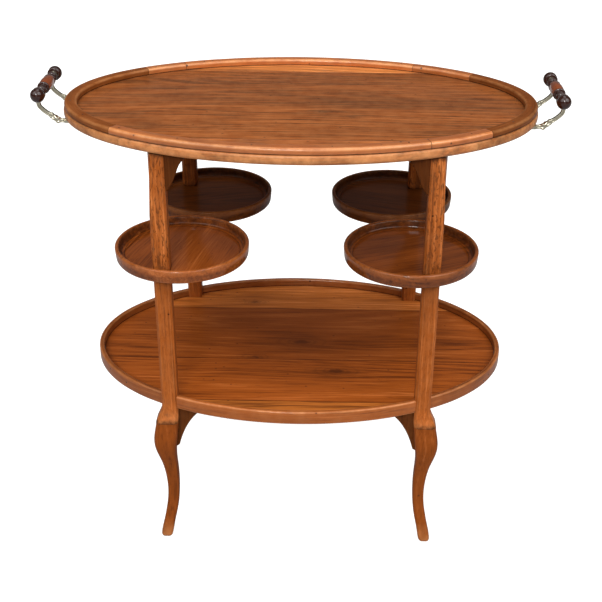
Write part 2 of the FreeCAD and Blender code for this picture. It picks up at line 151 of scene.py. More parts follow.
def buildWalnutFigure():
    tree, source, sink = newGroup(
        "walnutFigure",
        {"Place": "Vector", "Drift": 0.0, "Bands": 24.0, "Contrast": 1.0,
         "Pale": "Color", "Mid": "Color", "Dark": "Color"}, ("Color", "Fibre", "Pores"))
    shift = addVector("SCALE", walnutGrain["drift"], source["Drift"])
    place = addVector("ADD", source["Place"], shift)
    grain = addSway(place, walnutGrain["swayScale"], 2.0, walnutGrain["sway"])
    hill = addNoise(grain, walnutGrain["ringScale"], detail=1.0)
    ring = times(addMath("PINGPONG", times(hill, source["Bands"]), 0.5), 2.0)
    ring = addMath("POWER", ring, walnutGrain["ringPower"])
    broad = addNoise(grain, walnutGrain["broadScale"], detail=5.0, rough=0.64)
    fibre = addNoise(grain, walnutGrain["fibreScale"], detail=3.0, rough=0.6)
    pores = addRange(addNoise(grain, walnutGrain["poreScale"], detail=1.0), *walnutGrain["poreRange"])
    tone = addSwing(broad, walnutGrain["broadShare"])
    tone = plus(tone, addSwing(ring, walnutGrain["ringShare"]))
    tone = plus(tone, addSwing(fibre, walnutGrain["fibreShare"]))
    tone = plus(times(tone, source["Contrast"]), 0.5, clamp=True)
    low = addMix(addRange(tone, 0.0, 0.5, smooth=True), source["Dark"], source["Mid"])
    full = addMix(addRange(tone, 0.5, 1.0, smooth=True), low, source["Pale"])
    color = addMix(times(pores, walnutGrain["poreDepth"]), full, source["Dark"])
    feed(sink, {"Color": color, "Fibre": fibre, "Pores": pores})
    return tree


# Rubbed edges: patchy mask from the rub weight that the meshes carry
rubShape = {"scale": 46.0, "range": (0.34, 0.66), "least": 0.35}


def buildEdgeRub():
    tree, source, sink = newGroup("edgeRub", {"Place": "Vector", "Rub": 0.0, "Amount": 0.5})
    patch = addNoise(source["Place"], rubShape["scale"], detail=4.0, rough=0.6)
    patch = addRange(patch, *rubShape["range"], newLow=rubShape["least"])
    feed(sink, {"Mask": times(times(source["Rub"], patch), source["Amount"], clamp=True)})
    return tree


# Old polish: cloudy stains, small dents and an uneven gloss
polishMarks = {"cloudScale": (3.0, 13.0, 13.0), "stainRange": (0.5, 0.75), "dentScale": 62.0,
               "dentFade": (0.07, 0.15, 1.0, 0.0), "leaveOut": 0.78}


def buildOldPolish():
    tree, source, sink = newGroup(
        "oldPolish", {"Place": "Vector", "Stain": 0.3, "Dents": 0.4}, ("Stain", "Dents", "Cloud"))
    cloud = addNoise(source["Place"], polishMarks["cloudScale"], detail=4.0, rough=0.55)
    cell = newNode("TexVoronoi", source["Place"])
    feed(cell, {"Vector": source["Place"], "Scale": polishMarks["dentScale"]})
    spot = addRange(cell.outputs["Distance"], *polishMarks["dentFade"])
    chance = addVector("DOT_PRODUCT", cell.outputs["Color"], (1.0, 0.0, 0.0))
    spot = times(spot, addMath("GREATER_THAN", chance, polishMarks["leaveOut"]))
    stain = addRange(cloud, *polishMarks["stainRange"], smooth=True)
    feed(sink, {"Stain": times(stain, source["Stain"]), "Dents": times(spot, source["Dents"]),
                "Cloud": cloud})
    return tree


# Knot: a dark eye with rings that fade into the grain
knotShape = {"raggedScale": 90.0, "ragged": (0.012, 0.012, 0.012), "stretch": (0.42, 1.0, 0.0),
             "ringPace": 26.0, "eye": (0.12, 0.3, 0.85, 0.0), "fade": (0.2, 1.0, 0.8, 0.0),
             "rings": (-0.2, 1.0, 0.25, 0.6)}


def buildKnotMark():
    tree, source, sink = newGroup("knotMark", {"Place": "Vector", "Middle": "Vector", "Size": 0.02})
    place = addSway(source["Place"], knotShape["raggedScale"], 3.0, knotShape["ragged"])
    away = addVector("MULTIPLY", addVector("SUBTRACT", place, source["Middle"]), knotShape["stretch"])
    reach = addMath("DIVIDE", addMath("SQRT", addVector("DOT_PRODUCT", away, away)), source["Size"])
    eye = addRange(reach, *knotShape["eye"], smooth=True)
    wave = addMath("SINE", times(reach, knotShape["ringPace"]))
    fade = addRange(reach, *knotShape["fade"], smooth=True)
    rings = times(addRange(wave, *knotShape["rings"]), fade)
    feed(sink, {"Mask": addMath("MAXIMUM", eye, rings)})
    return tree


# Dark patch: a wide soft darkening with a ragged edge; on the shelf it is painted shadow of the top board
patchShape = {"raggedScale": (5.0, 24.0, 24.0), "ragged": 0.8, "fade": (0.15, 1.0, 1.0, 0.0)}


def buildDarkPatch():
    tree, source, sink = newGroup(
        "darkPatch", {"Place": "Vector", "Middle": "Vector", "Reach": "Vector", "Depth": 0.3})
    ragged = addSwing(addNoise(source["Place"], patchShape["raggedScale"], detail=4.0, rough=0.6),
                      patchShape["ragged"])
    away = addVector("DIVIDE", addVector("SUBTRACT", source["Place"], source["Middle"]), source["Reach"])
    reach = plus(addMath("SQRT", addVector("DOT_PRODUCT", away, away)), ragged)
    mask = addRange(reach, *patchShape["fade"], smooth=True)
    feed(sink, {"Mask": times(mask, source["Depth"])})
    return tree


# Flecks: short wavy dashes along the grain
fleckShape = {"swayScale": 60.0, "sway": (0.01, 0.01, 0.01), "dashScale": (75.0, 330.0, 330.0),
              "range": (0.5, 0.64)}


def buildFleckMark():
    tree, source, sink = newGroup("fleckMark", {"Place": "Vector", "Depth": 0.5})
    place = addSway(source["Place"], fleckShape["swayScale"], 2.0, fleckShape["sway"])
    dash = addNoise(place, fleckShape["dashScale"], rough=0.55)
    feed(sink, {"Mask": times(addRange(dash, *fleckShape["range"], smooth=True), source["Depth"])})
    return tree


# Dark seams: ragged mask from the seam weight that the meshes carry. It paints dark joint lines, and also
# painted shade in the creases at the foot of the rims, at the ends of the posts and on the trays' walls
dirtAndShadeShape = {"raggedScale": 120.0, "ragged": 1.4, "fade": (0.15, 0.7, 0.0, 0.9)}


def buildSeamDirtAndShade():
    tree, source, sink = newGroup("seamDirtAndShade", {"Place": "Vector", "Seam": 0.0})
    ragged = addSwing(addNoise(source["Place"], dirtAndShadeShape["raggedScale"], detail=3.0, rough=0.6),
                      dirtAndShadeShape["ragged"])
    weight = plus(source["Seam"], times(ragged, source["Seam"]))
    feed(sink, {"Mask": addRange(weight, *dirtAndShadeShape["fade"], smooth=True)})
    return tree


# Joint line: dark ragged glue line where two planks meet
jointShape = {"raggedScale": (14.0, 60.0, 60.0), "reach": (0.36, 0.66, 0.0005, 0.003),
              "fade": (0.3, 1.0, 0.75, 0.0)}


def buildJointLine():
    tree, source, sink = newGroup("jointLine", {"Place": "Vector", "At": 0.0})
    across = addVector("DOT_PRODUCT", source["Place"], (0.0, 1.0, 0.0))
    away = addMath("ABSOLUTE", minus(across, source["At"]))
    ragged = addNoise(source["Place"], jointShape["raggedScale"], detail=4.0, rough=0.6)
    reach = addRange(ragged, *jointShape["reach"])
    feed(sink, {"Mask": addRange(addMath("DIVIDE", away, reach), *jointShape["fade"], smooth=True)})
    return tree


walnutFigure = buildWalnutFigure()
jointLine = buildJointLine()
knotMark = buildKnotMark()
darkPatch = buildDarkPatch()
fleckMark = buildFleckMark()
seamDirtAndShade = buildSeamDirtAndShade()
edgeRub = buildEdgeRub()
oldPolish = buildOldPolish()
print("shared shader groups ready")


# What all finishes share
quarter = 1.5708
grainTurns = {"x": (0.0, 0.0, 0.0), "y": (0.0, 0.0, quarter), "z": (0.0, quarter, 0.0)}
cloudRange = (0.3, 0.7)


def newSkin(name):
    skin = bpy.data.materials.new(name)
    skin.use_nodes = True
    nodes = skin.node_tree.nodes
    return skin, nodes["Principled BSDF"], nodes.new("ShaderNodeTexCoord").outputs


def turnedPlace(place, rotation):
    node = newNode("Mapping", place)
    feed(node, {"Vector": place, "Rotation": rotation})
    return node.outputs["Vector"]


def meshWeight(beside, label):  # a weight that the meshes carry for each point
    node = newNode("Attribute", beside)
    node.attribute_name = label
    return node.outputs["Fac"]


def addWear(solidPlace, place, rub, stain, dents):
    weight = meshWeight(place, "rub")
    worn = placeGroup(edgeRub, {"Place": solidPlace, "Rub": weight, "Amount": rub})
    return worn["Mask"], placeGroup(oldPolish, {"Place": place, "Stain": stain, "Dents": dents})


def addBump(height, strength, distance):
    node = newNode("Bump", height)
    feed(node, {"Height": height, "Strength": strength, "Distance": distance})
    return node.outputs["Normal"]


def tinted(color, gain):  # one gain for all channels, or one for each
    gains = gain if isinstance(gain, tuple) else (gain,) * 3
    return tuple(min(1.0, channel * more) for channel, more in zip(color, gains)) + (1.0,)


def blended(first, second, share):
    return tuple(a + (b - a) * share for a, b in zip(first, second))


# Polished walnut, one material for each board, rail or foot
walnutTones = {
    "pale": (0.435, 0.123, 0.027, 1.0), "mid": (0.266, 0.0615, 0.008, 1.0),
    "dark": (0.085, 0.018, 0.003, 1.0), "knot": (0.06, 0.014, 0.003, 1.0),
    # The grime tone darkens dents and dark seams, and through the seam mask it is also painted shade
    "rubbed": (0.72, 0.305, 0.11, 1.0), "grimeAndShade": (0.03, 0.01, 0.004, 1.0),
}
walnutPolish = {"rubGain": 1.1, "rough": (0.3, 0.48), "poreRough": 0.12, "coatRough": 0.12,
                "fibreHeight": 0.35, "dentDepth": 3.0, "bump": (0.22, 0.0006)}


def walnutSkin(name, seed, drift=(1.0, 0.0), grain="x", gain=1.0, contrast=1.0, bands=24.0, turn=0.0,
               rub=0.5, stain=0.35, sheen=0.2, coat=0.05, dents=0.55, flecks=0.0, knots=(), joints=(),
               patches=()):  # the figure drifts by a step for each seed, from a start
    skin, shader, coords = newSkin(name)
    solid = coords["Object"]
    if grain == "uv":
        place = coords["UV"]
    else:
        spin = grainTurns[grain]
        place = turnedPlace(solid, (spin[0], spin[1], spin[2] + turn))
    pale, mid, dark, knotTone = (tinted(walnutTones[tone], gain) for tone in ("pale", "mid", "dark", "knot"))
    figure = placeGroup(walnutFigure, {
        "Place": place, "Drift": seed * drift[0] + drift[1], "Bands": bands, "Contrast": contrast,
        "Pale": pale, "Mid": mid, "Dark": dark})
    worn, polish = addWear(solid, place, rub, stain, dents)
    marks = [(dark, fleckMark, {"Place": place, "Depth": flecks})] if flecks else []
    for middle, reach, depth in patches:
        marks.append((dark, darkPatch, {"Place": solid, "Middle": middle, "Reach": reach, "Depth": depth}))
    for x, y, size in knots:
        marks.append((knotTone, knotMark, {"Place": solid, "Middle": (x, y, 0.0), "Size": size}))
    for at in joints:
        marks.append((knotTone, jointLine, {"Place": solid, "At": at}))
    color = addMix(polish["Stain"], figure["Color"], dark)
    for tone, group, values in marks:
        color = addMix(placeGroup(group, values)["Mask"], color, tone)
    rubGain = walnutPolish["rubGain"] if isinstance(gain, tuple) else gain
    color = addMix(worn, color, tinted(walnutTones["rubbed"], rubGain))
    dirtAndShade = placeGroup(seamDirtAndShade, {"Place": solid, "Seam": meshWeight(solid, "seam")})
    # Dents darken the wood; the seam mask darkens it too, partly as painted shade
    for mask in (polish["Dents"], dirtAndShade["Mask"]):
        color = addMix(mask, color, walnutTones["grimeAndShade"])
    gloss = addRange(polish["Cloud"], *cloudRange, *walnutPolish["rough"])
    gloss = plus(gloss, times(figure["Pores"], walnutPolish["poreRough"]))
    height = minus(times(figure["Fibre"], walnutPolish["fibreHeight"]), figure["Pores"])
    height = minus(height, times(polish["Dents"], walnutPolish["dentDepth"]))
    feed(shader, {
        "Base Color": color, "Roughness": gloss, "Normal": addBump(height, *walnutPolish["bump"]),
        "Specular IOR Level": sheen, "Coat Weight": coat, "Coat Roughness": walnutPolish["coatRough"]})
    return skin


# Turned grips: dark and red polished wood
turnedPolish = {"bands": 60.0, "contrast": 1.2, "rub": 0.35, "stain": 0.5, "dents": 0.5, "rubGain": 1.7,
                "roughSpan": 0.1, "bump": (0.1, 0.0003), "sheen": 0.12, "coat": 1.0, "coatRough": 0.06}


def turnedSkin(name, pale, dark, drift, rough):
    skin, shader, coords = newSkin(name)
    solid = coords["Object"]
    use = turnedPolish
    figure = placeGroup(walnutFigure, {
        "Place": turnedPlace(solid, grainTurns["y"]), "Drift": drift, "Bands": use["bands"],
        "Contrast": use["contrast"], "Pale": pale, "Mid": blended(pale, dark, 0.5), "Dark": dark})
    worn, polish = addWear(solid, solid, use["rub"], use["stain"], use["dents"])
    color = addMix(polish["Stain"], figure["Color"], dark)
    feed(shader, {
        "Base Color": addMix(worn, color, tinted(pale, use["rubGain"])),
        "Roughness": addRange(polish["Cloud"], *cloudRange, rough, rough + use["roughSpan"]),
        "Normal": addBump(figure["Fibre"], *use["bump"]), "Specular IOR Level": use["sheen"],
        "Coat Weight": use["coat"], "Coat Roughness": use["coatRough"]})
    return skin


# Metal: pale worn brass, plain steel and dark nail iron
metalWear = {"bright": 0.55, "rub": 0.9, "stain": 0.7, "dents": 0.6, "rubGain": 1.2, "grainScale": 900.0,
             "roughRange": (0.3, 1.2), "roughSpan": 0.3, "bump": (0.2, 0.0003)}


def metalSkin(name, bright, tarnish, rough):
    skin, shader, coords = newSkin(name)
    solid = coords["Object"]
    use = metalWear
    worn, polish = addWear(solid, solid, use["rub"], use["stain"], use["dents"])
    color = addMix(polish["Stain"], blended(tarnish, bright, use["bright"]), tarnish)
    grainy = addNoise(solid, use["grainScale"], detail=3.0, rough=0.6)
    gloss = plus(polish["Stain"], grainy)
    feed(shader, {
        "Base Color": addMix(worn, color, tinted(bright, use["rubGain"])), "Metallic": 1.0,
        "Roughness": addRange(gloss, *use["roughRange"], rough, rough + use["roughSpan"]),
        "Normal": addBump(grainy, *use["bump"])})
    return skin


darkGripSkin = turnedSkin("darkGripWood", (0.045, 0.01, 0.004, 1.0), (0.012, 0.003, 0.0015, 1.0), 3.0, 0.1)
redGripSkin = turnedSkin("redGripWood", (0.28, 0.062, 0.013, 1.0), (0.12, 0.024, 0.005, 1.0), 5.0, 0.12)
brassSkin = metalSkin("paleBrass", (0.70, 0.65, 0.50, 1.0), (0.11, 0.09, 0.05, 1.0), 0.2)
steelSkin = metalSkin("plainSteel", (0.36, 0.34, 0.32, 1.0), (0.13, 0.11, 0.10, 1.0), 0.35)
nailSkin = metalSkin("darkNailIron", (0.16, 0.11, 0.08, 1.0), (0.05, 0.035, 0.03, 1.0), 0.4)
print("finishes ready")


# Mesh helpers: every builder gives points, faces and a rub weight for each point

def putPiece(node, points, faces, rub, skin, body="frame", along=None, seam=None,
             sharpAt=32.0, name=None):
    name = name or node + "_piece"
    mesh = bpy.data.meshes.new(name)
    mesh.from_pydata([tuple(point) for point in points], [], faces)
    shaper = bmesh.new()
    shaper.from_mesh(mesh)
    bmesh.ops.recalc_face_normals(shaper, faces=shaper.faces)
    shaper.to_mesh(mesh)
    shaper.free()
    mesh.shade_smooth()
    mesh.set_sharp_from_angle(angle=radians(sharpAt))
    mesh.attributes.new("rub", "FLOAT", "POINT").data.foreach_set("value", rub)
    if seam:
        mesh.attributes.new("seam", "FLOAT", "POINT").data.foreach_set("value", seam)
    if along:
        layer = mesh.uv_layers.new(name="alongGrain")
        for loop in mesh.loops:
            layer.data[loop.index].uv = along[loop.vertex_index]
    mesh.materials.append(skin)
    piece = bpy.data.objects.new(name, mesh)
    scene.collection.objects.link(piece)
    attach(piece, body)
    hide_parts(node)
    return piece


def dressNode(label, skin):  # a solid that keeps its CAD shape
    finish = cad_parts[label].data.materials
    finish.clear()
    finish.append(skin)


def addPart(points, faces, morePoints, moreFaces):
    start = len(points)
    points += morePoints
    faces += [tuple(start + corner for corner in face) for face in moreFaces]


def arcTurns(steps, sweep=pi / 2.0):  # angles from nought to the sweep
    return [sweep * step / steps for step in range(steps + 1)]


flatRub = 0.25  # rub weight between rounded corners
poleRadius = 1e-6  # a smaller ring is one point
seedSteps = (7.31, 1.7)  # keep the pieces apart in the noise


def softOutline(corners, steps=5):  # corners (a, b, radius) in order, rounded by arcs
    points = []
    rub = []
    for index, (a, b, radius) in enumerate(corners):
        here = Vector((a, b))
        if not radius:
            points.append(here)
            rub.append(flatRub)
            continue
        inward = (Vector(corners[index - 1][:2]) - here).normalized()
        outward = (Vector(corners[(index + 1) % len(corners)][:2]) - here).normalized()
        half = inward.angle(outward) / 2.0
        reach = radius / tan(half)
        centre = here + (inward + outward).normalized() * (radius / sin(half))
        first = here + inward * reach - centre
        last = here + outward * reach - centre
        sweepAngle = first.angle_signed(last)
        for step in range(steps + 1):
            share = step / steps
            points.append(centre + Matrix.Rotation(-sweepAngle * share, 2) @ first)
            rub.append(flatRub + (1.0 - flatRub) * sin(pi * share))
    return points, rub


def joinRings(rings):  # rings of equally many points, skinned one to the next, with closed ends
    count = len(rings[0])
    points = [point for ring in rings for point in ring]
    faces = []
    for low in range(0, len(points) - count, count):
        for index in range(count):
            following = (index + 1) % count
            faces.append((low + index, low + following, low + count + following, low + count + index))
    faces.append(tuple(range(count)))
    faces.append(tuple(range(len(points) - count, len(points))))
    return points, faces


def spinProfile(profile, toPoint, segments):  # profile (radius, height) from pole to pole
    points = []
    faces = []
    rows = []
    for radius, height in profile:
        count = 1 if radius < poleRadius else segments
        rows.append(range(len(points), len(points) + count))
        points += [toPoint(radius, 2.0 * pi * step / segments, height) for step in range(count)]
    for lower, upper in zip(rows[:-1], rows[1:]):
        for step in range(segments):
            following = (step + 1) % segments
            corner = [lower[step % len(lower)], lower[following % len(lower)],
                      upper[following % len(upper)], upper[step % len(upper)]]
            faces.append(tuple(dict.fromkeys(corner)))
    return points, faces, rows


def ringWeights(weights, rows):  # one weight for each ring, given to all its points
    return [weight for weight, row in zip(weights, rows) for spot in row]


def wander(seed, place, size):  # gentle unevenness of hand work
    return size * noise.noise(Vector((place, seed * seedSteps[0], seed * seedSteps[1])))


def middleOf(node):
    low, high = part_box(node)
    return (low + high) / 2.0


# Rails that follow an oval: used for the rim of the top and of the shelf
rail = {"spacing": 0.004, "endEase": 0.0004, "uneven": 0.0004, "unevenPace": 14.0, "unevenTwist": 0.05,
        "arcSteps": 400, "leastSteps": 4, "seamHeight": 0.0018, "seamFade": 0.0012, "endRub": 0.9,
        "endSeam": 0.8}


def ovalPoint(halfLength, halfDepth, turn):
    point = Vector((halfLength * cos(turn), halfDepth * sin(turn), 0.0))
    normal = Vector((cos(turn) / halfLength, sin(turn) / halfDepth, 0.0)).normalized()
    return point, normal


def ovalRail(halfLength, halfDepth, first, last, outline, outlineRub, seed):
    steps = rail["arcSteps"]
    turns = [first + (last - first) * step / steps for step in range(steps + 1)]
    spots = [ovalPoint(halfLength, halfDepth, turn)[0] for turn in turns]
    marks = [0.0]
    for before, after in zip(spots[:-1], spots[1:]):
        marks.append(marks[-1] + (after - before).length)
    length = marks[-1]
    across = [0.0]
    for before, after in zip(outline[:-1], outline[1:]):
        across.append(across[-1] + (after - before).length)
    ease = rail["endEase"]
    count = max(rail["leastSteps"], int(length / rail["spacing"]))
    stops = [0.0, ease] + [length * step / count for step in range(1, count)] + [length - ease, length]
    centre = sum(outline, Vector((0.0, 0.0))) / len(outline)
    seamTop = min(spot.y for spot in outline) + rail["seamHeight"]
    rings, rub, along, seam = [], [], [], []
    at = 0
    for order, stop in enumerate(stops):
        while at < steps - 1 and marks[at + 1] < stop:
            at += 1
        share = (stop - marks[at]) / (marks[at + 1] - marks[at])
        point, normal = ovalPoint(halfLength, halfDepth, turns[at] + (turns[at + 1] - turns[at]) * share)
        ending = order in (0, len(stops) - 1)
        ring = []
        for index, spot in enumerate(outline):
            place = stop * rail["unevenPace"] + index * rail["unevenTwist"]
            pull = ease if ending else abs(wander(seed, place, rail["uneven"]))
            eased = spot + (centre - spot).normalized() * pull
            ring.append(point + normal * eased.x + Vector((0.0, 0.0, eased.y)))
            along.append((stop + seed, across[index]))
            rub.append(rail["endRub"] if ending else outlineRub[index])
            # The foot of the rail is darkened: a dark joint line with painted shade of the gap at the board.
            # The butt ends are darkened as dark joints.
            low = max(0.0, min(1.0, (seamTop - spot.y) / rail["seamFade"]))
            seam.append(rail["endSeam"] if ending else low)
        rings.append(ring)
    points, faces = joinRings(rings)
    return points, faces, rub, along, seam


topRim = {
    "outerRound": 0.005, "innerRound": 0.0045, "footRound": 0.0015, "seatRound": 0.0005, "seamLine": 0.002,
    "width": 0.021, "jointGap": 0.0004, "coat": 0.12,
    "wood": {"drift": (1.3, 0.4), "grain": "uv", "contrast": 1.2, "bands": 30.0, "rub": 0.6,
             "dents": 0.95},
    "pieces": {  # first and last angle, gain and sheen
        # The gains paint light: the front and back rails are lightened for their highlights, the end rails
        # darkened
        "right_end": (-39.75, 37.75, 0.64, 0.02), "back_right": (37.75, 58.0, 1.2, 0.3),
        "back": (58.0, 124.5, 1.6, 0.35), "back_left": (124.5, 137.5, 1.6, 0.35),
        "left_end": (137.5, 221.5, 0.7, 0.02), "front": (221.5, 301.25, 1.5, 0.4),
        "front_right": (301.25, 320.25, 1.4, 0.4),
    },
}
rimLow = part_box("top_rim_front")[0]
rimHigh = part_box("top_rim_right_end")[1]
rimMidLength = rimHigh.x - topRim["width"] / 2.0
rimMidDepth = -rimLow.y - topRim["width"] / 2.0


def buildTopRim():
    half = topRim["width"] / 2.0
    outline, outlineRub = softOutline([
        (-half, rimLow.z, topRim["seatRound"]), (half, rimLow.z, topRim["footRound"]),
        (half, rimHigh.z, topRim["outerRound"]), (-half, rimHigh.z, topRim["innerRound"]),
        (-half, rimLow.z + topRim["seamLine"], 0.0)])
    gapTurn = topRim["jointGap"] / 2.0 / rimMidLength
    for seed, (label, (first, last, gain, sheen)) in enumerate(topRim["pieces"].items()):
        points, faces, rub, along, seam = ovalRail(
            rimMidLength, rimMidDepth, radians(first) + gapTurn, radians(last) - gapTurn, outline, outlineRub,
            seed + 1.0)
        skin = walnutSkin("rimWalnut_" + label, seed, gain=gain, sheen=sheen, coat=sheen + topRim["coat"],
                          **topRim["wood"])
        putPiece("top_rim_" + label, points, faces, rub, skin, along=along, seam=seam)


buildTopRim()
print("top rim ready")


# Small nail heads along the crest of the rim
rimNail = {
    "count": 20, "firstAngle": 8.0, "radius": 0.0015, "proud": 0.00015, "segments": 16, "rub": 0.3,
    "head": ((0.0, 0.0), (0.7, 0.00005), (1.0, 0.0002), (1.0, 0.0012), (0.0, 0.0012)),  # radius share, drop
}


def buildRimNails():
    points = []
    faces = []
    headTop = rimHigh.z + rimNail["proud"]
    profile = [(rimNail["radius"] * share, headTop - drop) for share, drop in rimNail["head"]]
    for index in range(rimNail["count"]):
        turn = radians(rimNail["firstAngle"] + index * 360.0 / rimNail["count"])
        spot = Vector((rimMidLength * cos(turn), rimMidDepth * sin(turn), 0.0))

        def toPoint(away, angle, height):
            return spot + Vector((away * cos(angle), away * sin(angle), height))

        addPart(points, faces, *spinProfile(profile, toPoint, rimNail["segments"])[:2])
    putPiece("rim_nails", points, faces, [rimNail["rub"]] * len(points), nailSkin,
             name="rim_nail_heads")


buildRimNails()
print("rim nails ready")


# Oval top board in planks with eased joints
board = {
    "overhang": 0.0015, "topRound": 0.005, "topSteps": 4, "bottomRound": 0.007, "bottomSteps": 5,
    "jointEase": 0.0005, "arcSteps": 160, "edgeRub": 0.8, "faceRub": 0.2,
    "wood": {"contrast": 2.4, "bands": 22.0, "rub": 1.0, "stain": 0.3, "coat": 0.12,
             "patches": (((0.16, 0.005, 0.0), (0.34, 0.05, 9.0), 0.4),
                         ((-0.2, 0.02, 0.0), (0.2, 0.03, 9.0), 0.25))},
    "planks": {"front": {"seed": 2.0, "gain": 1.14, "sheen": 0.25},
               "middle": {"seed": 4.1, "gain": 0.9, "sheen": 0.12,
                          "knots": ((0.083, -0.066, 0.012), (0.036, -0.043, 0.02))},
               # The back plank is a lighter plank, and its whiter gain also paints a sheen from behind
               "back": {"seed": 6.7, "gain": (2.35, 2.9, 3.5), "sheen": 0.35}},
}
boardLow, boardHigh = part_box("top_plank_middle")
boardLength = rimHigh.x + board["overhang"]
boardDepth = -rimLow.y + board["overhang"]


def clippedOval(inset, lowY, highY):
    halfLength = boardLength - inset
    halfDepth = boardDepth - inset
    low, high = (asin(max(-1.0, min(1.0, y / halfDepth))) for y in (lowY, highY))
    points = []
    for first, last in ((low, high), (pi - high, pi - low)):
        for step in range(board["arcSteps"] + 1):
            turn = first + (last - first) * step / board["arcSteps"]
            points.append((halfLength * cos(turn), halfDepth * sin(turn)))
    return points


def buildTopPlank(label, lowY, highY, joints):
    top = board["topRound"]
    bottom = board["bottomRound"]
    levels = [(top, board["jointEase"], boardHigh.z)]  # inset, ease at the joints and height
    for turn in arcTurns(board["topSteps"])[1:]:
        levels.append((top * (1.0 - sin(turn)), 0.0, boardHigh.z - top * (1.0 - cos(turn))))
    for turn in arcTurns(board["bottomSteps"]):
        levels.append((bottom * (1.0 - cos(turn)), 0.0, boardLow.z + bottom * (1.0 - sin(turn))))
    rings = []
    rub = []
    for order, (inset, ease, z) in enumerate(levels):
        low = lowY + (0.0 if label == "front" else ease)
        high = highY - (0.0 if label == "back" else ease)
        rings.append([Vector((x, y, z)) for x, y in clippedOval(inset, low, high)])
        onEdge = 1 < order < len(levels) - 2
        rub += [board["edgeRub"] if onEdge else board["faceRub"]] * len(rings[-1])
    points, faces = joinRings(rings)
    skin = walnutSkin("topWalnut_" + label, joints=joints, **board["planks"][label], **board["wood"])
    putPiece("top_plank_" + label, points, faces, rub, skin)


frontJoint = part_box("top_plank_front")[1].y
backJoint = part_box("top_plank_back")[0].y
plankSides = (-boardDepth, frontJoint, backJoint, boardDepth)
for label, lowY, highY in zip(board["planks"], plankSides[:-1], plankSides[1:]):
    buildTopPlank(label, lowY, highY, (frontJoint, backJoint))
print("top board ready")


# Shelf planks stay as the CAD made them, with their own walnut
shelfBoard = {
    "wood": {"contrast": 1.5, "bands": 20.0, "sheen": 0.1,
             # The patch is painted shadow of the top board over the middle of the shelf
             "patches": (((0.03, 0.09, 0.0), (0.42, 0.26, 9.0), 0.5),)},
    "planks": {
        "front": {"seed": 11.3, "gain": (2.0, 2.5, 3.0)},
        "middle_front": {"seed": 13.9, "gain": 1.47, "knots": ((0.068, -0.089, 0.03),)},
        # The middle back plank's lower gain paints the top board's shadow, and the back plank's high gain
        # paints light from behind
        "middle_back": {"seed": 17.2, "gain": 1.32,
                        "knots": ((0.005, 0.009, 0.034), (-0.078, -0.047, 0.018))},
        "back": {"seed": 19.6, "gain": (2.3, 2.8, 3.5), "knots": ((-0.092, 0.161, 0.016),)},
    },
}
shelfJoints = [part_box("shelf_plank_" + label)[0].y for label in ("middle_front", "middle_back", "back")]
for label, plank in shelfBoard["planks"].items():
    skin = walnutSkin("shelfWalnut_" + label, joints=shelfJoints, **plank, **shelfBoard["wood"])
    dressNode("shelf_plank_" + label, skin)

# Thin upright rim of the shelf, in four rails between the posts
shelfRim = {
    "width": 0.009, "round": 0.0035, "seatRound": 0.0005, "roundSteps": 4, "intoPost": 0.002,
    "seamLine": 0.002, "firstSeed": 20.0, "gains": {"back": 1.0, "left": 0.9, "front": 1.2, "right": 0.95},
    "wood": {"drift": (1.1, 21.0), "grain": "uv", "contrast": 1.2, "bands": 30.0, "rub": 0.5,
             "dents": 0.95, "sheen": 0.05, "coat": 0.5},
}
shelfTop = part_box("shelf_plank_middle_front")[1].z
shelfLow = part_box("shelf_rim_front")[0]
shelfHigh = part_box("shelf_rim_right")[1]


def buildShelfRim():
    half = shelfRim["width"] / 2.0
    edge = shelfRim["round"]
    midLength = shelfHigh.x - half
    midDepth = -shelfLow.y - half
    outline, outlineRub = softOutline([
        (-half, shelfLow.z, shelfRim["seatRound"]), (half, shelfLow.z, edge), (half, shelfHigh.z, edge),
        (-half, shelfHigh.z, edge), (-half, shelfTop + shelfRim["seamLine"], 0.0), (-half, shelfTop, 0.0)],
        shelfRim["roundSteps"])
    postLow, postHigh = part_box("upper_post_back_right")
    longEnd = acos((postLow.x + shelfRim["intoPost"]) / midLength)
    shortEnd = acos((postHigh.x - shelfRim["intoPost"]) / midLength)
    spans = {"back": (longEnd, pi - longEnd), "left": (pi - shortEnd, pi + shortEnd),
             "front": (pi + longEnd, 2.0 * pi - longEnd), "right": (-shortEnd, shortEnd)}
    for seed, (label, (first, last)) in enumerate(spans.items()):
        points, faces, rub, along, seam = ovalRail(
            midLength, midDepth, first, last, outline, outlineRub, seed + shelfRim["firstSeed"])
        # The line where the shelf board meets the rim's inner face is darkened: painted shade in the crease
        for index, point in enumerate(points):
            if abs(point.z - shelfTop) < shelfRim["seamLine"] / 2.0:
                seam[index] = 1.0
        skin = walnutSkin("shelfRimWalnut_" + label, seed, gain=shelfRim["gains"][label], **shelfRim["wood"])
        putPiece("shelf_rim_" + label, points, faces, rub, skin, along=along, seam=seam)


buildShelfRim()
print("shelf ready")


# Square posts in two lengths, chamfered and a little uneven
post = {
    "chamfer": 0.004, "edgeRound": 0.0011, "edgeSteps": 3, "levelStep": 0.012, "endEase": 0.0007,
    "uneven": 0.0003, "unevenPace": 22.0, "unevenTwist": 0.06, "tuckHeight": 0.1, "tuckShare": 0.35,
    # endSeam and nearEndSeam darken the post's ends: painted shade where the post meets the next part
    "flareHeight": 0.0235, "endRub": 0.9, "endSeam": 1.0, "nearEndSeam": 0.55,
    "wood": {"drift": (2.3, 31.0), "grain": "z", "bands": 26.0, "rub": 0.35, "dents": 0.95,
             "sheen": 0.03, "coat": 0.1},
    "figure": {"upper_post": {"gain": 1.4, "contrast": 2.2, "flecks": 0.9},
               "lower_post": {"gain": 1.32, "contrast": 1.3, "flecks": 0.3}},
}
cornerNames = ["front_left", "front_right", "back_left", "back_right"]


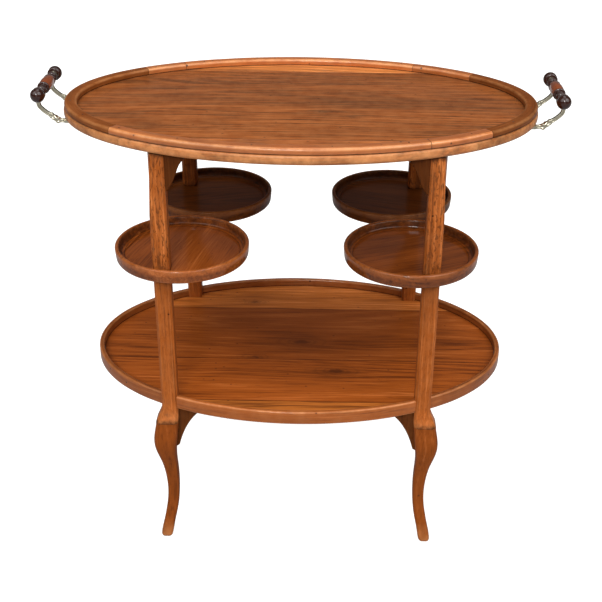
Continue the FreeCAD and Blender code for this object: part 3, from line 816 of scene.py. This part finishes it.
def tuckUnderTop(x, y, share):  # the top end keeps inside the board's round edge
    inset = board["bottomRound"] * post["tuckShare"]
    over = sqrt((x / (boardLength - inset)) ** 2 + (y / (boardDepth - inset)) ** 2)
    if over <= 1.0:
        return x, y
    return x + (x / over - x) * share, y + (y / over - y) * share


def flared(value, low, high, baseLow, baseHigh):  # how far a point moves to reach the wider base
    share = (value - low) / (high - low)
    return (baseLow - low) * (1.0 - share) + (baseHigh - high) * share


def buildPost(label, corner, seed, lowZ, highZ):
    low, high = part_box("upper_post_" + corner)  # both lengths share this section
    name = label + "_" + corner
    baseLow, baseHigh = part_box(name)
    cut = post["chamfer"]
    edge = post["edgeRound"]
    outline, outlineRub = softOutline([
        (low.x + cut, low.y, edge), (high.x - cut, low.y, edge), (high.x, low.y + cut, edge),
        (high.x, high.y - cut, edge), (high.x - cut, high.y, edge), (low.x + cut, high.y, edge),
        (low.x, high.y - cut, edge), (low.x, low.y + cut, edge)], post["edgeSteps"])
    centre = Vector(((low.x + high.x) / 2.0, (low.y + high.y) / 2.0))
    count = int((highZ - lowZ) / post["levelStep"])
    stops = [lowZ, lowZ + post["endEase"]]
    stops += [lowZ + (highZ - lowZ) * step / count for step in range(1, count)]
    stops += [highZ - post["tuckHeight"], highZ - post["tuckHeight"] / 2.0, highZ - post["endEase"], highZ]
    stops = sorted(set(stops))
    rings, rub, seam = [], [], []
    for order, z in enumerate(stops):
        ending = order in (0, len(stops) - 1)
        nearEnd = order in (1, len(stops) - 2)
        tuck = flare = 0.0
        if label == "upper_post":  # drawn in at the top
            tuck = max(0.0, 1.0 - (highZ - z) / post["tuckHeight"])
        else:  # wider at the foot
            flare = max(0.0, 1.0 - (z - lowZ) / post["flareHeight"])
        ring = []
        for index, spot in enumerate(outline):
            place = z * post["unevenPace"] + index * post["unevenTwist"]
            ease = post["endEase"] if ending else abs(wander(seed, place, post["uneven"]))
            x, y = spot + (centre - spot).normalized() * ease
            x += flare * flared(x, low.x, high.x, baseLow.x, baseHigh.x)
            y += flare * flared(y, low.y, high.y, baseLow.y, baseHigh.y)
            ring.append(Vector((*tuckUnderTop(x, y, tuck), z)))
            rub.append(post["endRub"] if ending else max(outlineRub[index], flare))
            # The ends and the rings next to them are darkened: painted shade where the post meets the next
            # part
            seam.append(post["endSeam"] if ending else post["nearEndSeam"] if nearEnd else 0.0)
        rings.append(ring)
    points, faces = joinRings(rings)
    skin = walnutSkin("postWalnut_" + name, seed, **post["figure"][label], **post["wood"])
    putPiece(name, points, faces, rub, skin, seam=seam)


for seed, corner in enumerate(cornerNames):
    lowerLow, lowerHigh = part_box("lower_post_" + corner)
    buildPost("upper_post", corner, seed + 1.0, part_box("upper_post_" + corner)[0].z, boardLow.z)
    buildPost("lower_post", corner, seed + 5.0, lowerLow.z, lowerHigh.z)
print("posts ready")


# Curved brackets: flat boards cut to an outline, with eased edges
bracket = {"ease": 0.0009, "curveSteps": 20, "faceRub": 0.36, "edgeRub": 0.42}
upperBracket = {
    "nose": 0.008, "poles": ((0.55, 0.15), (0.62, 0.55)),  # shares of the reach and of the depth
    # The low gain is painted shade: the bracket is darkened as if in the shade beside the post under the top
    "wood": {"drift": (1.9, 51.0), "grain": "z", "gain": 0.33, "contrast": 1.3, "rub": 0.25,
             "sheen": 0.03},
}
lowerBracket = {
    "curve": ((0.045, 0.264), (0.023, 0.252), (0.008, 0.226), (-0.0015, 0.189)), "intoFoot": 0.0015,
    # The low gain is painted shade under the shelf
    "wood": {"drift": (1.7, 61.0), "grain": "z", "gain": 0.4, "contrast": 1.4, "sheen": 0.02},
}


def bezierPoints(poles):
    points = []
    for step in range(bracket["curveSteps"] + 1):
        t = step / bracket["curveSteps"]
        weights = ((1 - t) ** 3, 3 * t * (1 - t) ** 2, 3 * t * t * (1 - t), t ** 3)
        points.append(Vector([sum(w * p[axis] for w, p in zip(weights, poles)) for axis in (0, 1)]))
    return points


def easedBoard(outline, lowY, highY):
    ease = bracket["ease"]
    following = outline[1:] + outline[:1]
    area = sum(a.x * b.y - b.x * a.y for a, b in zip(outline, following))
    inward = ease if area >= 0.0 else -ease
    shrunk = []
    for index, spot in enumerate(outline):
        side = (spot - outline[index - 1]).normalized() + (following[index] - spot).normalized()
        shrunk.append(spot + Vector((-side.y, side.x)).normalized() * inward)
    rings = []
    rub = []
    for flat, y, weight in ((shrunk, lowY, bracket["faceRub"]), (outline, lowY + ease, bracket["edgeRub"]),
                            (outline, highY - ease, bracket["edgeRub"]), (shrunk, highY, bracket["faceRub"])):
        rings.append([Vector((spot.x, y, spot.y)) for spot in flat])
        rub += [weight] * len(flat)
    points, faces = joinRings(rings)
    return points, faces, rub


def upperCurve(low, high):
    reach = high.x - low.x
    noseZ = high.z - upperBracket["nose"]
    poles = [(reach, noseZ)]
    poles += [(reach * share, noseZ - (high.z - low.z) * drop) for share, drop in upperBracket["poles"]]
    poles.append((0.0, low.z))
    return [Vector((0.0, high.z)), Vector((reach, high.z))] + bezierPoints(poles)


def lowerCurve(low, high, tipReach, footTop):  # the back edge is let a little into post and foot
    hidden = lowerBracket["intoFoot"]
    curve = lowerBracket["curve"]
    flat = [Vector((-hidden, footTop)), Vector((-hidden, high.z)), Vector((curve[0][0], high.z))]
    return flat + bezierPoints(curve) + [Vector((-tipReach - hidden, low.z))]


def buildBracket(label, corner, seed, settings):
    name = label + "_bracket_" + corner
    low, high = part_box(name)
    rightSide = low.x > 0.0
    if label == "upper":
        postSide = high.x if rightSide else low.x
        flat = upperCurve(low, high)
    else:
        postLow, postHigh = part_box("upper_post_" + corner)
        postSide = postLow.x if rightSide else postHigh.x
        tipReach = high.x - postSide if rightSide else postSide - low.x
        flat = lowerCurve(low, high, tipReach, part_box("cabriole_foot_" + corner)[1].z)
    side = 1.0 if rightSide else -1.0
    outline = [Vector((postSide - side * spot.x, spot.y)) for spot in flat]
    points, faces, rub = easedBoard(outline, low.y, high.y)
    putPiece(name, points, faces, rub,
             walnutSkin(label + "BracketWalnut_" + corner, seed, **settings["wood"]))


# Cabriole feet: the solid's own curve with a worn round toe
foot = {"weld": 0.000001, "leastAway": 0.0001, "toeRound": 0.007, "toeInset": 0.0042, "toeSteps": 6,
        "wornToe": 0.04,
        "wood": {"drift": (2.1, 71.0), "grain": "z", "gain": 0.93, "bands": 22.0, "rub": 0.6,
                 "stain": 0.2, "dents": 0.6, "sheen": 0.03, "coat": 0.12}}


def buildFoot(corner, seed):
    name = "cabriole_foot_" + corner
    shaper = bmesh.new()
    shaper.from_mesh(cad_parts[name].data)
    bmesh.ops.remove_doubles(shaper, verts=shaper.verts, dist=foot["weld"])
    for step in range(1, foot["toeSteps"] + 1):
        level = foot["toeRound"] * step / foot["toeSteps"]
        bmesh.ops.bisect_plane(shaper, geom=shaper.verts[:] + shaper.edges[:] + shaper.faces[:],
                               plane_co=(0.0, 0.0, level), plane_no=(0.0, 0.0, 1.0))
    toe = [vert.co for vert in shaper.verts if vert.co.z < foot["toeRound"]]
    middle = sum(toe, Vector()) / len(toe)
    for spot in toe:
        share = 1.0 - spot.z / foot["toeRound"]
        inset = foot["toeInset"] * (1.0 - sqrt(max(0.0, 1.0 - share * share)))
        away = Vector((spot.x - middle.x, spot.y - middle.y))
        away *= max(0.0, 1.0 - inset / max(away.length, foot["leastAway"]))
        spot.x = middle.x + away.x
        spot.y = middle.y + away.y
    shaper.verts.index_update()
    points = [vert.co.copy() for vert in shaper.verts]
    faces = [[vert.index for vert in face.verts] for face in shaper.faces]
    shaper.free()
    rub = [max(0.0, 1.0 - point.z / foot["wornToe"]) for point in points]
    putPiece(name, points, faces, rub, walnutSkin("footWalnut_" + corner, seed, **foot["wood"]))


for seed, corner in enumerate(cornerNames):
    buildBracket("upper", corner, seed, upperBracket)
    buildBracket("lower", corner, seed, lowerBracket)
    buildFoot(corner, seed)
print("brackets and feet ready")


# Dished swing trays turned from one board
tray = {
    "floor": 0.009, "wall": 0.007, "lipRound": 0.003, "cove": 0.005, "footRound": 0.006, "taper": 0.0012,
    "bead": 0.0004, "beadAt": (0.004, 0.003, 0.002), "floorRings": (0.25, 0.5, 0.7, 0.85),
    "soleRings": (0.6, 0.3), "arcSteps": 6, "lipSteps": 8, "segments": 144, "uneven": 0.0003,
    # The groove, the outer wall and the cove and inner wall are darkened: painted shade
    "unevenPace": 3.0, "unevenStart": 9.0, "grooveShade": 0.75, "wallShade": 0.38, "innerShade": 0.46,
    "lipRub": 0.9, "soleRub": 0.5, "faceRub": 0.05,
    "nearWall": 0.9, "nearGroove": 0.8, "lipReach": 1.2, "outerReach": 1.5, "innerReach": 0.8,  # shares
    "wood": {"drift": (3.7, 81.0), "contrast": 1.3, "rub": 0.16, "stain": 0.5, "sheen": 0.05},
    "tones": {  # gain, turn of the grain in degrees and coat
        # The gains are lit and shaded copies: the back trays and the front right tray are darkened as painted
        # shade under the top, the front left tray is lightest
        "front_left": (1.2, 76.0, 0.65), "front_right": (0.86, 20.0, 0.65),
        "back_left": ((0.5, 0.54, 0.5), 10.0, 0.2), "back_right": ((0.42, 0.44, 0.4), -15.0, 0.2)},
}


def trayProfile(radius, lowZ, highZ):
    floorZ = lowZ + tray["floor"]
    half = tray["wall"] / 2.0
    cove = tray["cove"]
    lip = tray["lipRound"]
    sole = tray["footRound"]
    inner = radius - tray["wall"]
    outer = radius - tray["taper"]
    profile = [(0.0, floorZ)] + [(inner * share, floorZ) for share in tray["floorRings"]]
    for inset, drop in zip(tray["beadAt"], (0.0, tray["bead"], 0.0)):
        profile.append((inner - cove - inset, floorZ - drop))
    for turn in arcTurns(tray["arcSteps"]):
        profile.append((inner - cove + cove * sin(turn), floorZ + cove - cove * cos(turn)))
    for turn in arcTurns(tray["lipSteps"], pi):
        profile.append((radius - half - half * cos(turn), highZ - lip + lip * sin(turn)))
    profile.append((radius - tray["taper"] / 2.0, (lowZ + highZ) / 2.0))
    for turn in arcTurns(tray["arcSteps"]):
        profile.append((outer - sole + sole * cos(turn), lowZ + sole - sole * sin(turn)))
    return profile + [(radius * share, lowZ) for share in tray["soleRings"]] + [(0.0, lowZ)]


def trayWeights(away, height, radius, low, high):  # rub and painted shade of one ring of the profile
    wall = tray["wall"]
    lip = tray["lipRound"]
    floorZ = low.z + tray["floor"]
    bead = tray["bead"]
    rub = tray["faceRub"]
    nearWall = away > radius * tray["nearWall"]
    nearGroove = away > radius * tray["nearGroove"]
    if height > high.z - lip * tray["lipReach"]:
        rub = tray["lipRub"]
    elif nearWall and height < low.z + tray["footRound"]:
        rub = tray["soleRub"]
    # The groove, the outside of the wall and the cove and inner wall are darkened: painted shade
    grimeAndShade = 0.0
    if nearGroove and abs(height - floorZ + bead) < bead / 2.0:  # bottom of the groove
        grimeAndShade = tray["grooveShade"]
    elif away > radius - tray["taper"] * tray["outerReach"] and height < high.z - lip:  # outside of the wall
        grimeAndShade = tray["wallShade"]
    elif nearWall and away < radius - wall * tray["innerReach"] and height > floorZ:  # cove and inside
        grimeAndShade = tray["innerShade"]
    return rub, grimeAndShade


def buildSwingTray(corner, seed):
    name = "swing_tray_" + corner
    low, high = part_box(name)
    centre = middleOf(name)
    radius = (high.x - low.x) / 2.0
    gain, grainTurn, coat = tray["tones"][corner]

    def toPoint(away, angle, height):
        place = tray["unevenPace"] * cos(angle) + tray["unevenStart"]
        away *= 1.0 - abs(wander(seed, place, tray["uneven"]))
        return Vector((centre.x + away * cos(angle), centre.y + away * sin(angle), height))

    profile = trayProfile(radius, low.z, high.z)
    points, faces, rows = spinProfile(profile, toPoint, tray["segments"])
    worn, grimeAndShade = zip(*[trayWeights(away, height, radius, low, high) for away, height in profile])
    skin = walnutSkin(
        "trayWalnut_" + corner, seed, gain=gain, turn=-radians(grainTurn), coat=coat, **tray["wood"])
    putPiece(name, points, faces, ringWeights(worn, rows), skin, body="tray_" + corner,
             seam=ringWeights(grimeAndShade, rows))


for seed, corner in enumerate(cornerNames):
    buildSwingTray(corner, seed + 1.0)
print("swing trays ready")


# Turned grips: red barrels between dark beads, with dark ball finials
grip = {"segments": 40, "beadSteps": 6, "sharpAt": 50.0, "beadRub": 0.8, "crestShare": 0.98}
gripBarrel = {
    "bulge": 0.0106, "bulgeSteps": 12, "shoulder": 0.0091, "shoulderAt": 0.0185, "collarAt": 0.0208,
    "collarHalf": 0.0021, "collarRadius": 0.0101,
    "waist": ((0.007, 0.0265), (0.0068, 0.0285), (0.007, 0.0305)),  # radius and distance from the middle
    "beadRadius": 0.0082, "grooveRadius": 0.0066, "beadsIn": (0.0068, 0.0028), "beadHalf": 0.0018,
    "endRadius": 0.0068, "faceRub": 0.15,
}
gripFinial = {
    "neck": 0.0062, "ringRadius": 0.0109, "grooveRadius": 0.0080, "ringHalf": 0.0016,
    "rings": (0.0020, 0.0055), "ballSteps": 18, "ballShare": 0.6, "faceRub": 0.2,
}


def beadProfile(middle, half, groove, crest):
    return [(groove + (crest - groove) * sin(turn), middle - half * cos(turn))
            for turn in arcTurns(grip["beadSteps"], pi)]


def aboutGrip(axis, sense=1.0, middle=0.0):
    def toPoint(radius, angle, height):
        return Vector((axis.x + radius * cos(angle), middle + sense * height, axis.z + radius * sin(angle)))
    return toPoint


def buildGripBarrel(side):
    name = "grip_barrel_" + side
    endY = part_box(name)[1].y
    size = gripBarrel
    half = []
    for step in range(1, size["bulgeSteps"] + 1):
        share = step / size["bulgeSteps"]
        rise = (size["bulge"] - size["shoulder"]) * cos(share * pi / 2.0)
        half.append((size["shoulder"] + rise, size["shoulderAt"] * share))
    half += beadProfile(size["collarAt"], size["collarHalf"], size["grooveRadius"], size["collarRadius"])
    half += size["waist"]
    for inset in size["beadsIn"]:
        half += beadProfile(endY - inset, size["beadHalf"], size["grooveRadius"], size["beadRadius"])
    half += [(size["endRadius"], endY), (0.0, endY)]
    profile = [(radius, -height) for radius, height in half[::-1]] + [(size["bulge"], 0.0)] + half
    points, faces, rows = spinProfile(profile, aboutGrip(middleOf(name)), grip["segments"])
    crest = size["beadRadius"] * grip["crestShare"]
    weights = [grip["beadRub"] if away > crest else size["faceRub"] for away, height in profile]
    rub = ringWeights(weights, rows)
    piece = putPiece(name, points, faces, rub, redGripSkin, sharpAt=grip["sharpAt"])
    piece.data.materials.append(darkGripSkin)
    for face in piece.data.polygons:
        face.material_index = 1 if abs(face.center.y) > size["shoulderAt"] else 0


def buildGripFinial(name):
    low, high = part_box(name)
    axis = middleOf(name)
    size = gripFinial
    sense = 1.0 if axis.y > 0.0 else -1.0
    start, tip = sorted((abs(low.y), abs(high.y)))
    ballRadius = (high.x - low.x) / 2.0
    ballAt = tip - ballRadius
    profile = [(0.0, start), (size["neck"], start)]
    for offset in size["rings"]:
        profile += beadProfile(start + offset, size["ringHalf"], size["grooveRadius"], size["ringRadius"])
    firstTurn = acos((ballAt - start - size["rings"][1] - size["ringHalf"]) / ballRadius)
    for turn in arcTurns(size["ballSteps"], pi - firstTurn):
        profile.append((ballRadius * sin(firstTurn + turn), ballAt - ballRadius * cos(firstTurn + turn)))
    profile[-1] = (0.0, tip)
    points, faces, rows = spinProfile(profile, aboutGrip(axis, sense), grip["segments"])
    crest = size["ringRadius"] * grip["crestShare"]
    ballFrom = ballAt - ballRadius * size["ballShare"]
    weights = [grip["beadRub"] if away > crest and height < ballFrom else size["faceRub"]
               for away, height in profile]
    rub = ringWeights(weights, rows)
    putPiece(name, points, faces, rub, darkGripSkin, sharpAt=grip["sharpAt"])


# Cast brass arms: ribbed stem, leaf knops near the board, eye for the rod and flat tang under the board
arm = {
    "spine": ((-0.0115, -0.002), (-0.005, -0.002), (0.006, -0.0002), (0.0132, 0.0057), (0.023, 0.012),
              (0.0321, 0.0211), (0.0335, 0.0297), (0.0305, 0.0385)),
    "stemRadius": 0.0032, "rib": 0.0008, "ribs": 4.0, "segments": 32, "stepsPerSpan": 14,
    "knops": ((0.016, 0.0026, 0.0032), (0.0225, 0.0021, 0.0028),  # place, height and width
              (0.0285, 0.0015, 0.0024)),
    "leaves": 3.0, "leafMean": 0.75, "leafSwing": 0.35, "twist": 520.0, "knopRub": 120.0,
    "eyeHalf": 0.0035, "eyeRound": 0.0016, "eyeSteps": 4, "eyeRub": 0.6,
    "tangLevels": ((0.004, 0.0006), (0.0034, 0.0), (0.0, 0.0)), "tangRound": 0.004,  # drop and ease
    "tangInset": 0.005, "tangRub": 0.4, "sharpAt": 45.0,
}


def smoothSpine(poles, steps):
    ends = [poles[0] * 2.0 - poles[1]] + poles + [poles[-1] * 2.0 - poles[-2]]
    points = []
    for a, b, c, d in zip(ends[:-3], ends[1:-2], ends[2:-1], ends[3:]):
        for step in range(steps):
            t = step / steps
            points.append(b + (c - a) * (t / 2.0) + (a * 2.0 - b * 5.0 + c * 4.0 - d) * (t * t / 2.0)
                          + (b * 3.0 - a - c * 3.0 + d) * (t ** 3 / 2.0))
    points.append(poles[-1])
    return points


def armStem(y, sense):
    poles = [Vector((rimHigh.x + x, boardLow.z + z)) for x, z in arm["spine"]]
    path = smoothSpine(poles, arm["stepsPerSpan"])
    rings = []
    rub = []
    travelled = 0.0
    for index, spot in enumerate(path):
        if index:
            travelled += (spot - path[index - 1]).length
        ahead = path[min(index + 1, len(path) - 1)] - path[max(index - 1, 0)]
        normal = Vector((-ahead.y, ahead.x)).normalized()
        swell = 0.0
        for place, height, width in arm["knops"]:
            swell += height * exp(-((travelled - place) / width) ** 2)
        ring = []
        for step in range(arm["segments"]):
            angle = 2.0 * pi * step / arm["segments"]
            ribs = cos(arm["ribs"] * (angle - pi / 4.0))
            leaf = cos(arm["leaves"] * angle + arm["twist"] * travelled)
            leaf = swell * (arm["leafMean"] + arm["leafSwing"] * leaf)
            radius = arm["stemRadius"] + arm["rib"] * ribs + leaf
            across = normal * (radius * cos(angle))
            ring.append(Vector((sense * (spot.x + across.x), y + radius * sin(angle), spot.y + across.y)))
            # Ribs are rubbed bright and the grooves keep their tarnish; this also paints the bright and dark
            # reflection lines along the arm
            rub.append(min(1.0, 0.5 + 0.5 * ribs + swell * arm["knopRub"]))
        rings.append(ring)
    points, faces = joinRings(rings)
    return points, faces, rub


def armEye(axis, y, radius):
    edge = arm["eyeRound"]
    back = -arm["eyeHalf"]
    profile = [(0.0, back)]
    for turn in arcTurns(arm["eyeSteps"]):
        profile.append((radius - edge + edge * sin(turn), back + edge - edge * cos(turn)))
    profile += [(away, -height) for away, height in profile[::-1]]
    return spinProfile(profile, aboutGrip(axis, middle=y), arm["segments"])[:2]


def armTang(low, high, y, sense):
    left, right = sorted((low.x if sense > 0.0 else high.x, sense * (rimHigh.x - arm["tangInset"])))
    corner = arm["tangRound"]
    outline = softOutline([
        (left, low.y, corner), (right, low.y, corner), (right, high.y, corner), (left, high.y, corner)])[0]
    middle = Vector(((left + right) / 2.0, y))
    rings = []
    for drop, ease in arm["tangLevels"]:
        eased = [spot + (middle - spot).normalized() * ease for spot in outline]
        rings.append([Vector((*spot, boardLow.z - drop)) for spot in eased])
    return joinRings(rings)


def buildBrassArm(name, finial):
    low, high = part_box(name)
    sense = 1.0 if low.x > 0.0 else -1.0
    y = (low.y + high.y) / 2.0
    axis = middleOf(finial)
    points, faces, rub = armStem(y, sense)
    for (morePoints, moreFaces), weight in ((armEye(axis, y, high.z - axis.z), arm["eyeRub"]),
                                            (armTang(low, high, y, sense), arm["tangRub"])):
        addPart(points, faces, morePoints, moreFaces)
        rub += [weight] * len(morePoints)
    putPiece(name, points, faces, rub, brassSkin, sharpAt=arm["sharpAt"])


for side in ("left", "right"):
    buildGripBarrel(side)
    for end in ("front", "back"):
        finial = "grip_finial_" + side + "_" + end
        buildGripFinial(finial)
        buildBrassArm("handle_arm_" + side + "_" + end, finial)
print("handles ready")


# Hidden fixings keep their CAD shapes with plain finishes
hiddenFixings = {"handle_rod_left": brassSkin, "handle_rod_right": brassSkin, "handle_screws": steelSkin,
                 "bracket_screws": steelSkin, "pivot_pins": steelSkin,
                 "foot_dowels": walnutSkin("dowelWalnut", seed=93.0, grain="z", gain=1.1)}
for label, skin in hiddenFixings.items():
    dressNode(label, skin)
print("fixings ready")


# Camera at the photograph's place, a pale floor and soft studio light
photoCamera = {"place": (0.0425, -1.7054, 1.2930), "pitch": 0.4968, "yaw": 0.0232, "roll": 0.00595,
               "lens": 64.456, "sensor": 36.0, "farthest": 60.0}
studioSuns = {  # turn from the front, height and spread in degrees, then strength
    "highKey": (0.0, 62.0, 80.0, 1.35), "rightFill": (58.0, 42.0, 50.0, 1.25),
    "leftFill": (-58.0, 42.0, 50.0, 0.75), "lowFront": (0.0, 12.0, 30.0, 0.12),
    "sparkle": (-8.0, 36.0, 16.0, 1.05), "backFill": (172.0, 66.0, 30.0, 0.35),
}
pale = {"floorSize": 30.0, "floorColor": (0.4, 0.4, 0.4, 1.0), "floorRough": 0.9, "floorGlow": 0.9,
        "skyColor": (1.0, 0.99, 0.97, 1.0), "skyLight": 0.12, "skyGlow": 1.0}


def addObject(name, data):
    item = bpy.data.objects.new(name, data)
    scene.collection.objects.link(item)
    return item


def cameraRay(tree):
    return tree.nodes.new("ShaderNodeLightPath").outputs["Is Camera Ray"]


def buildCamera():
    view = bpy.data.cameras.new("photoCamera")
    view.lens = photoCamera["lens"]
    view.sensor_width = photoCamera["sensor"]
    view.clip_end = photoCamera["farthest"]
    turn = Matrix.Rotation(photoCamera["yaw"], 4, "Z")
    turn = turn @ Matrix.Rotation(pi / 2.0 - photoCamera["pitch"], 4, "X")
    turn = turn @ Matrix.Rotation(photoCamera["roll"], 4, "Z")
    scene.camera = addObject("photoCamera", view)
    scene.camera.matrix_world = Matrix.Translation(photoCamera["place"]) @ turn


def buildSuns():
    for label, (turn, height, spread, strength) in studioSuns.items():
        lamp = bpy.data.lights.new(label, "SUN")
        lamp.angle = radians(spread)
        lamp.energy = strength
        level = cos(radians(height))
        source = Vector((level * sin(radians(turn)), -level * cos(radians(turn)), sin(radians(height))))
        holder = addObject(label, lamp)
        holder.matrix_world = (-source).to_track_quat("-Z", "Y").to_matrix().to_4x4()


def buildFloor():  # bleached floor, as in a cut-out picture
    half = pale["floorSize"] / 2.0
    mesh = bpy.data.meshes.new("paleFloor")
    mesh.from_pydata([(-half, -half, 0.0), (half, -half, 0.0), (half, half, 0.0), (-half, half, 0.0)],
                     [], [(0, 1, 2, 3)])
    skin = bpy.data.materials.new("paleFloor")
    skin.use_nodes = True
    tree = skin.node_tree
    feed(tree.nodes["Principled BSDF"], {
        "Base Color": pale["floorColor"], "Roughness": pale["floorRough"], "Emission Color": pale["skyColor"],
        "Emission Strength": times(cameraRay(tree), pale["floorGlow"])})
    mesh.materials.append(skin)
    floor = addObject("paleFloor", mesh)


def buildSky():  # seen white, but lights the table softly
    sky = bpy.data.worlds.new("paleSky")
    sky.use_nodes = True
    tree = sky.node_tree
    glow = addRange(cameraRay(tree), 0.0, 1.0, pale["skyLight"], pale["skyGlow"])
    feed(tree.nodes["Background"], {"Color": pale["skyColor"], "Strength": glow})
    scene.world = sky
    scene.view_settings.view_transform = "Standard"


buildCamera()
buildSuns()
buildFloor()
buildSky()
print("studio ready")

print("scene finished")
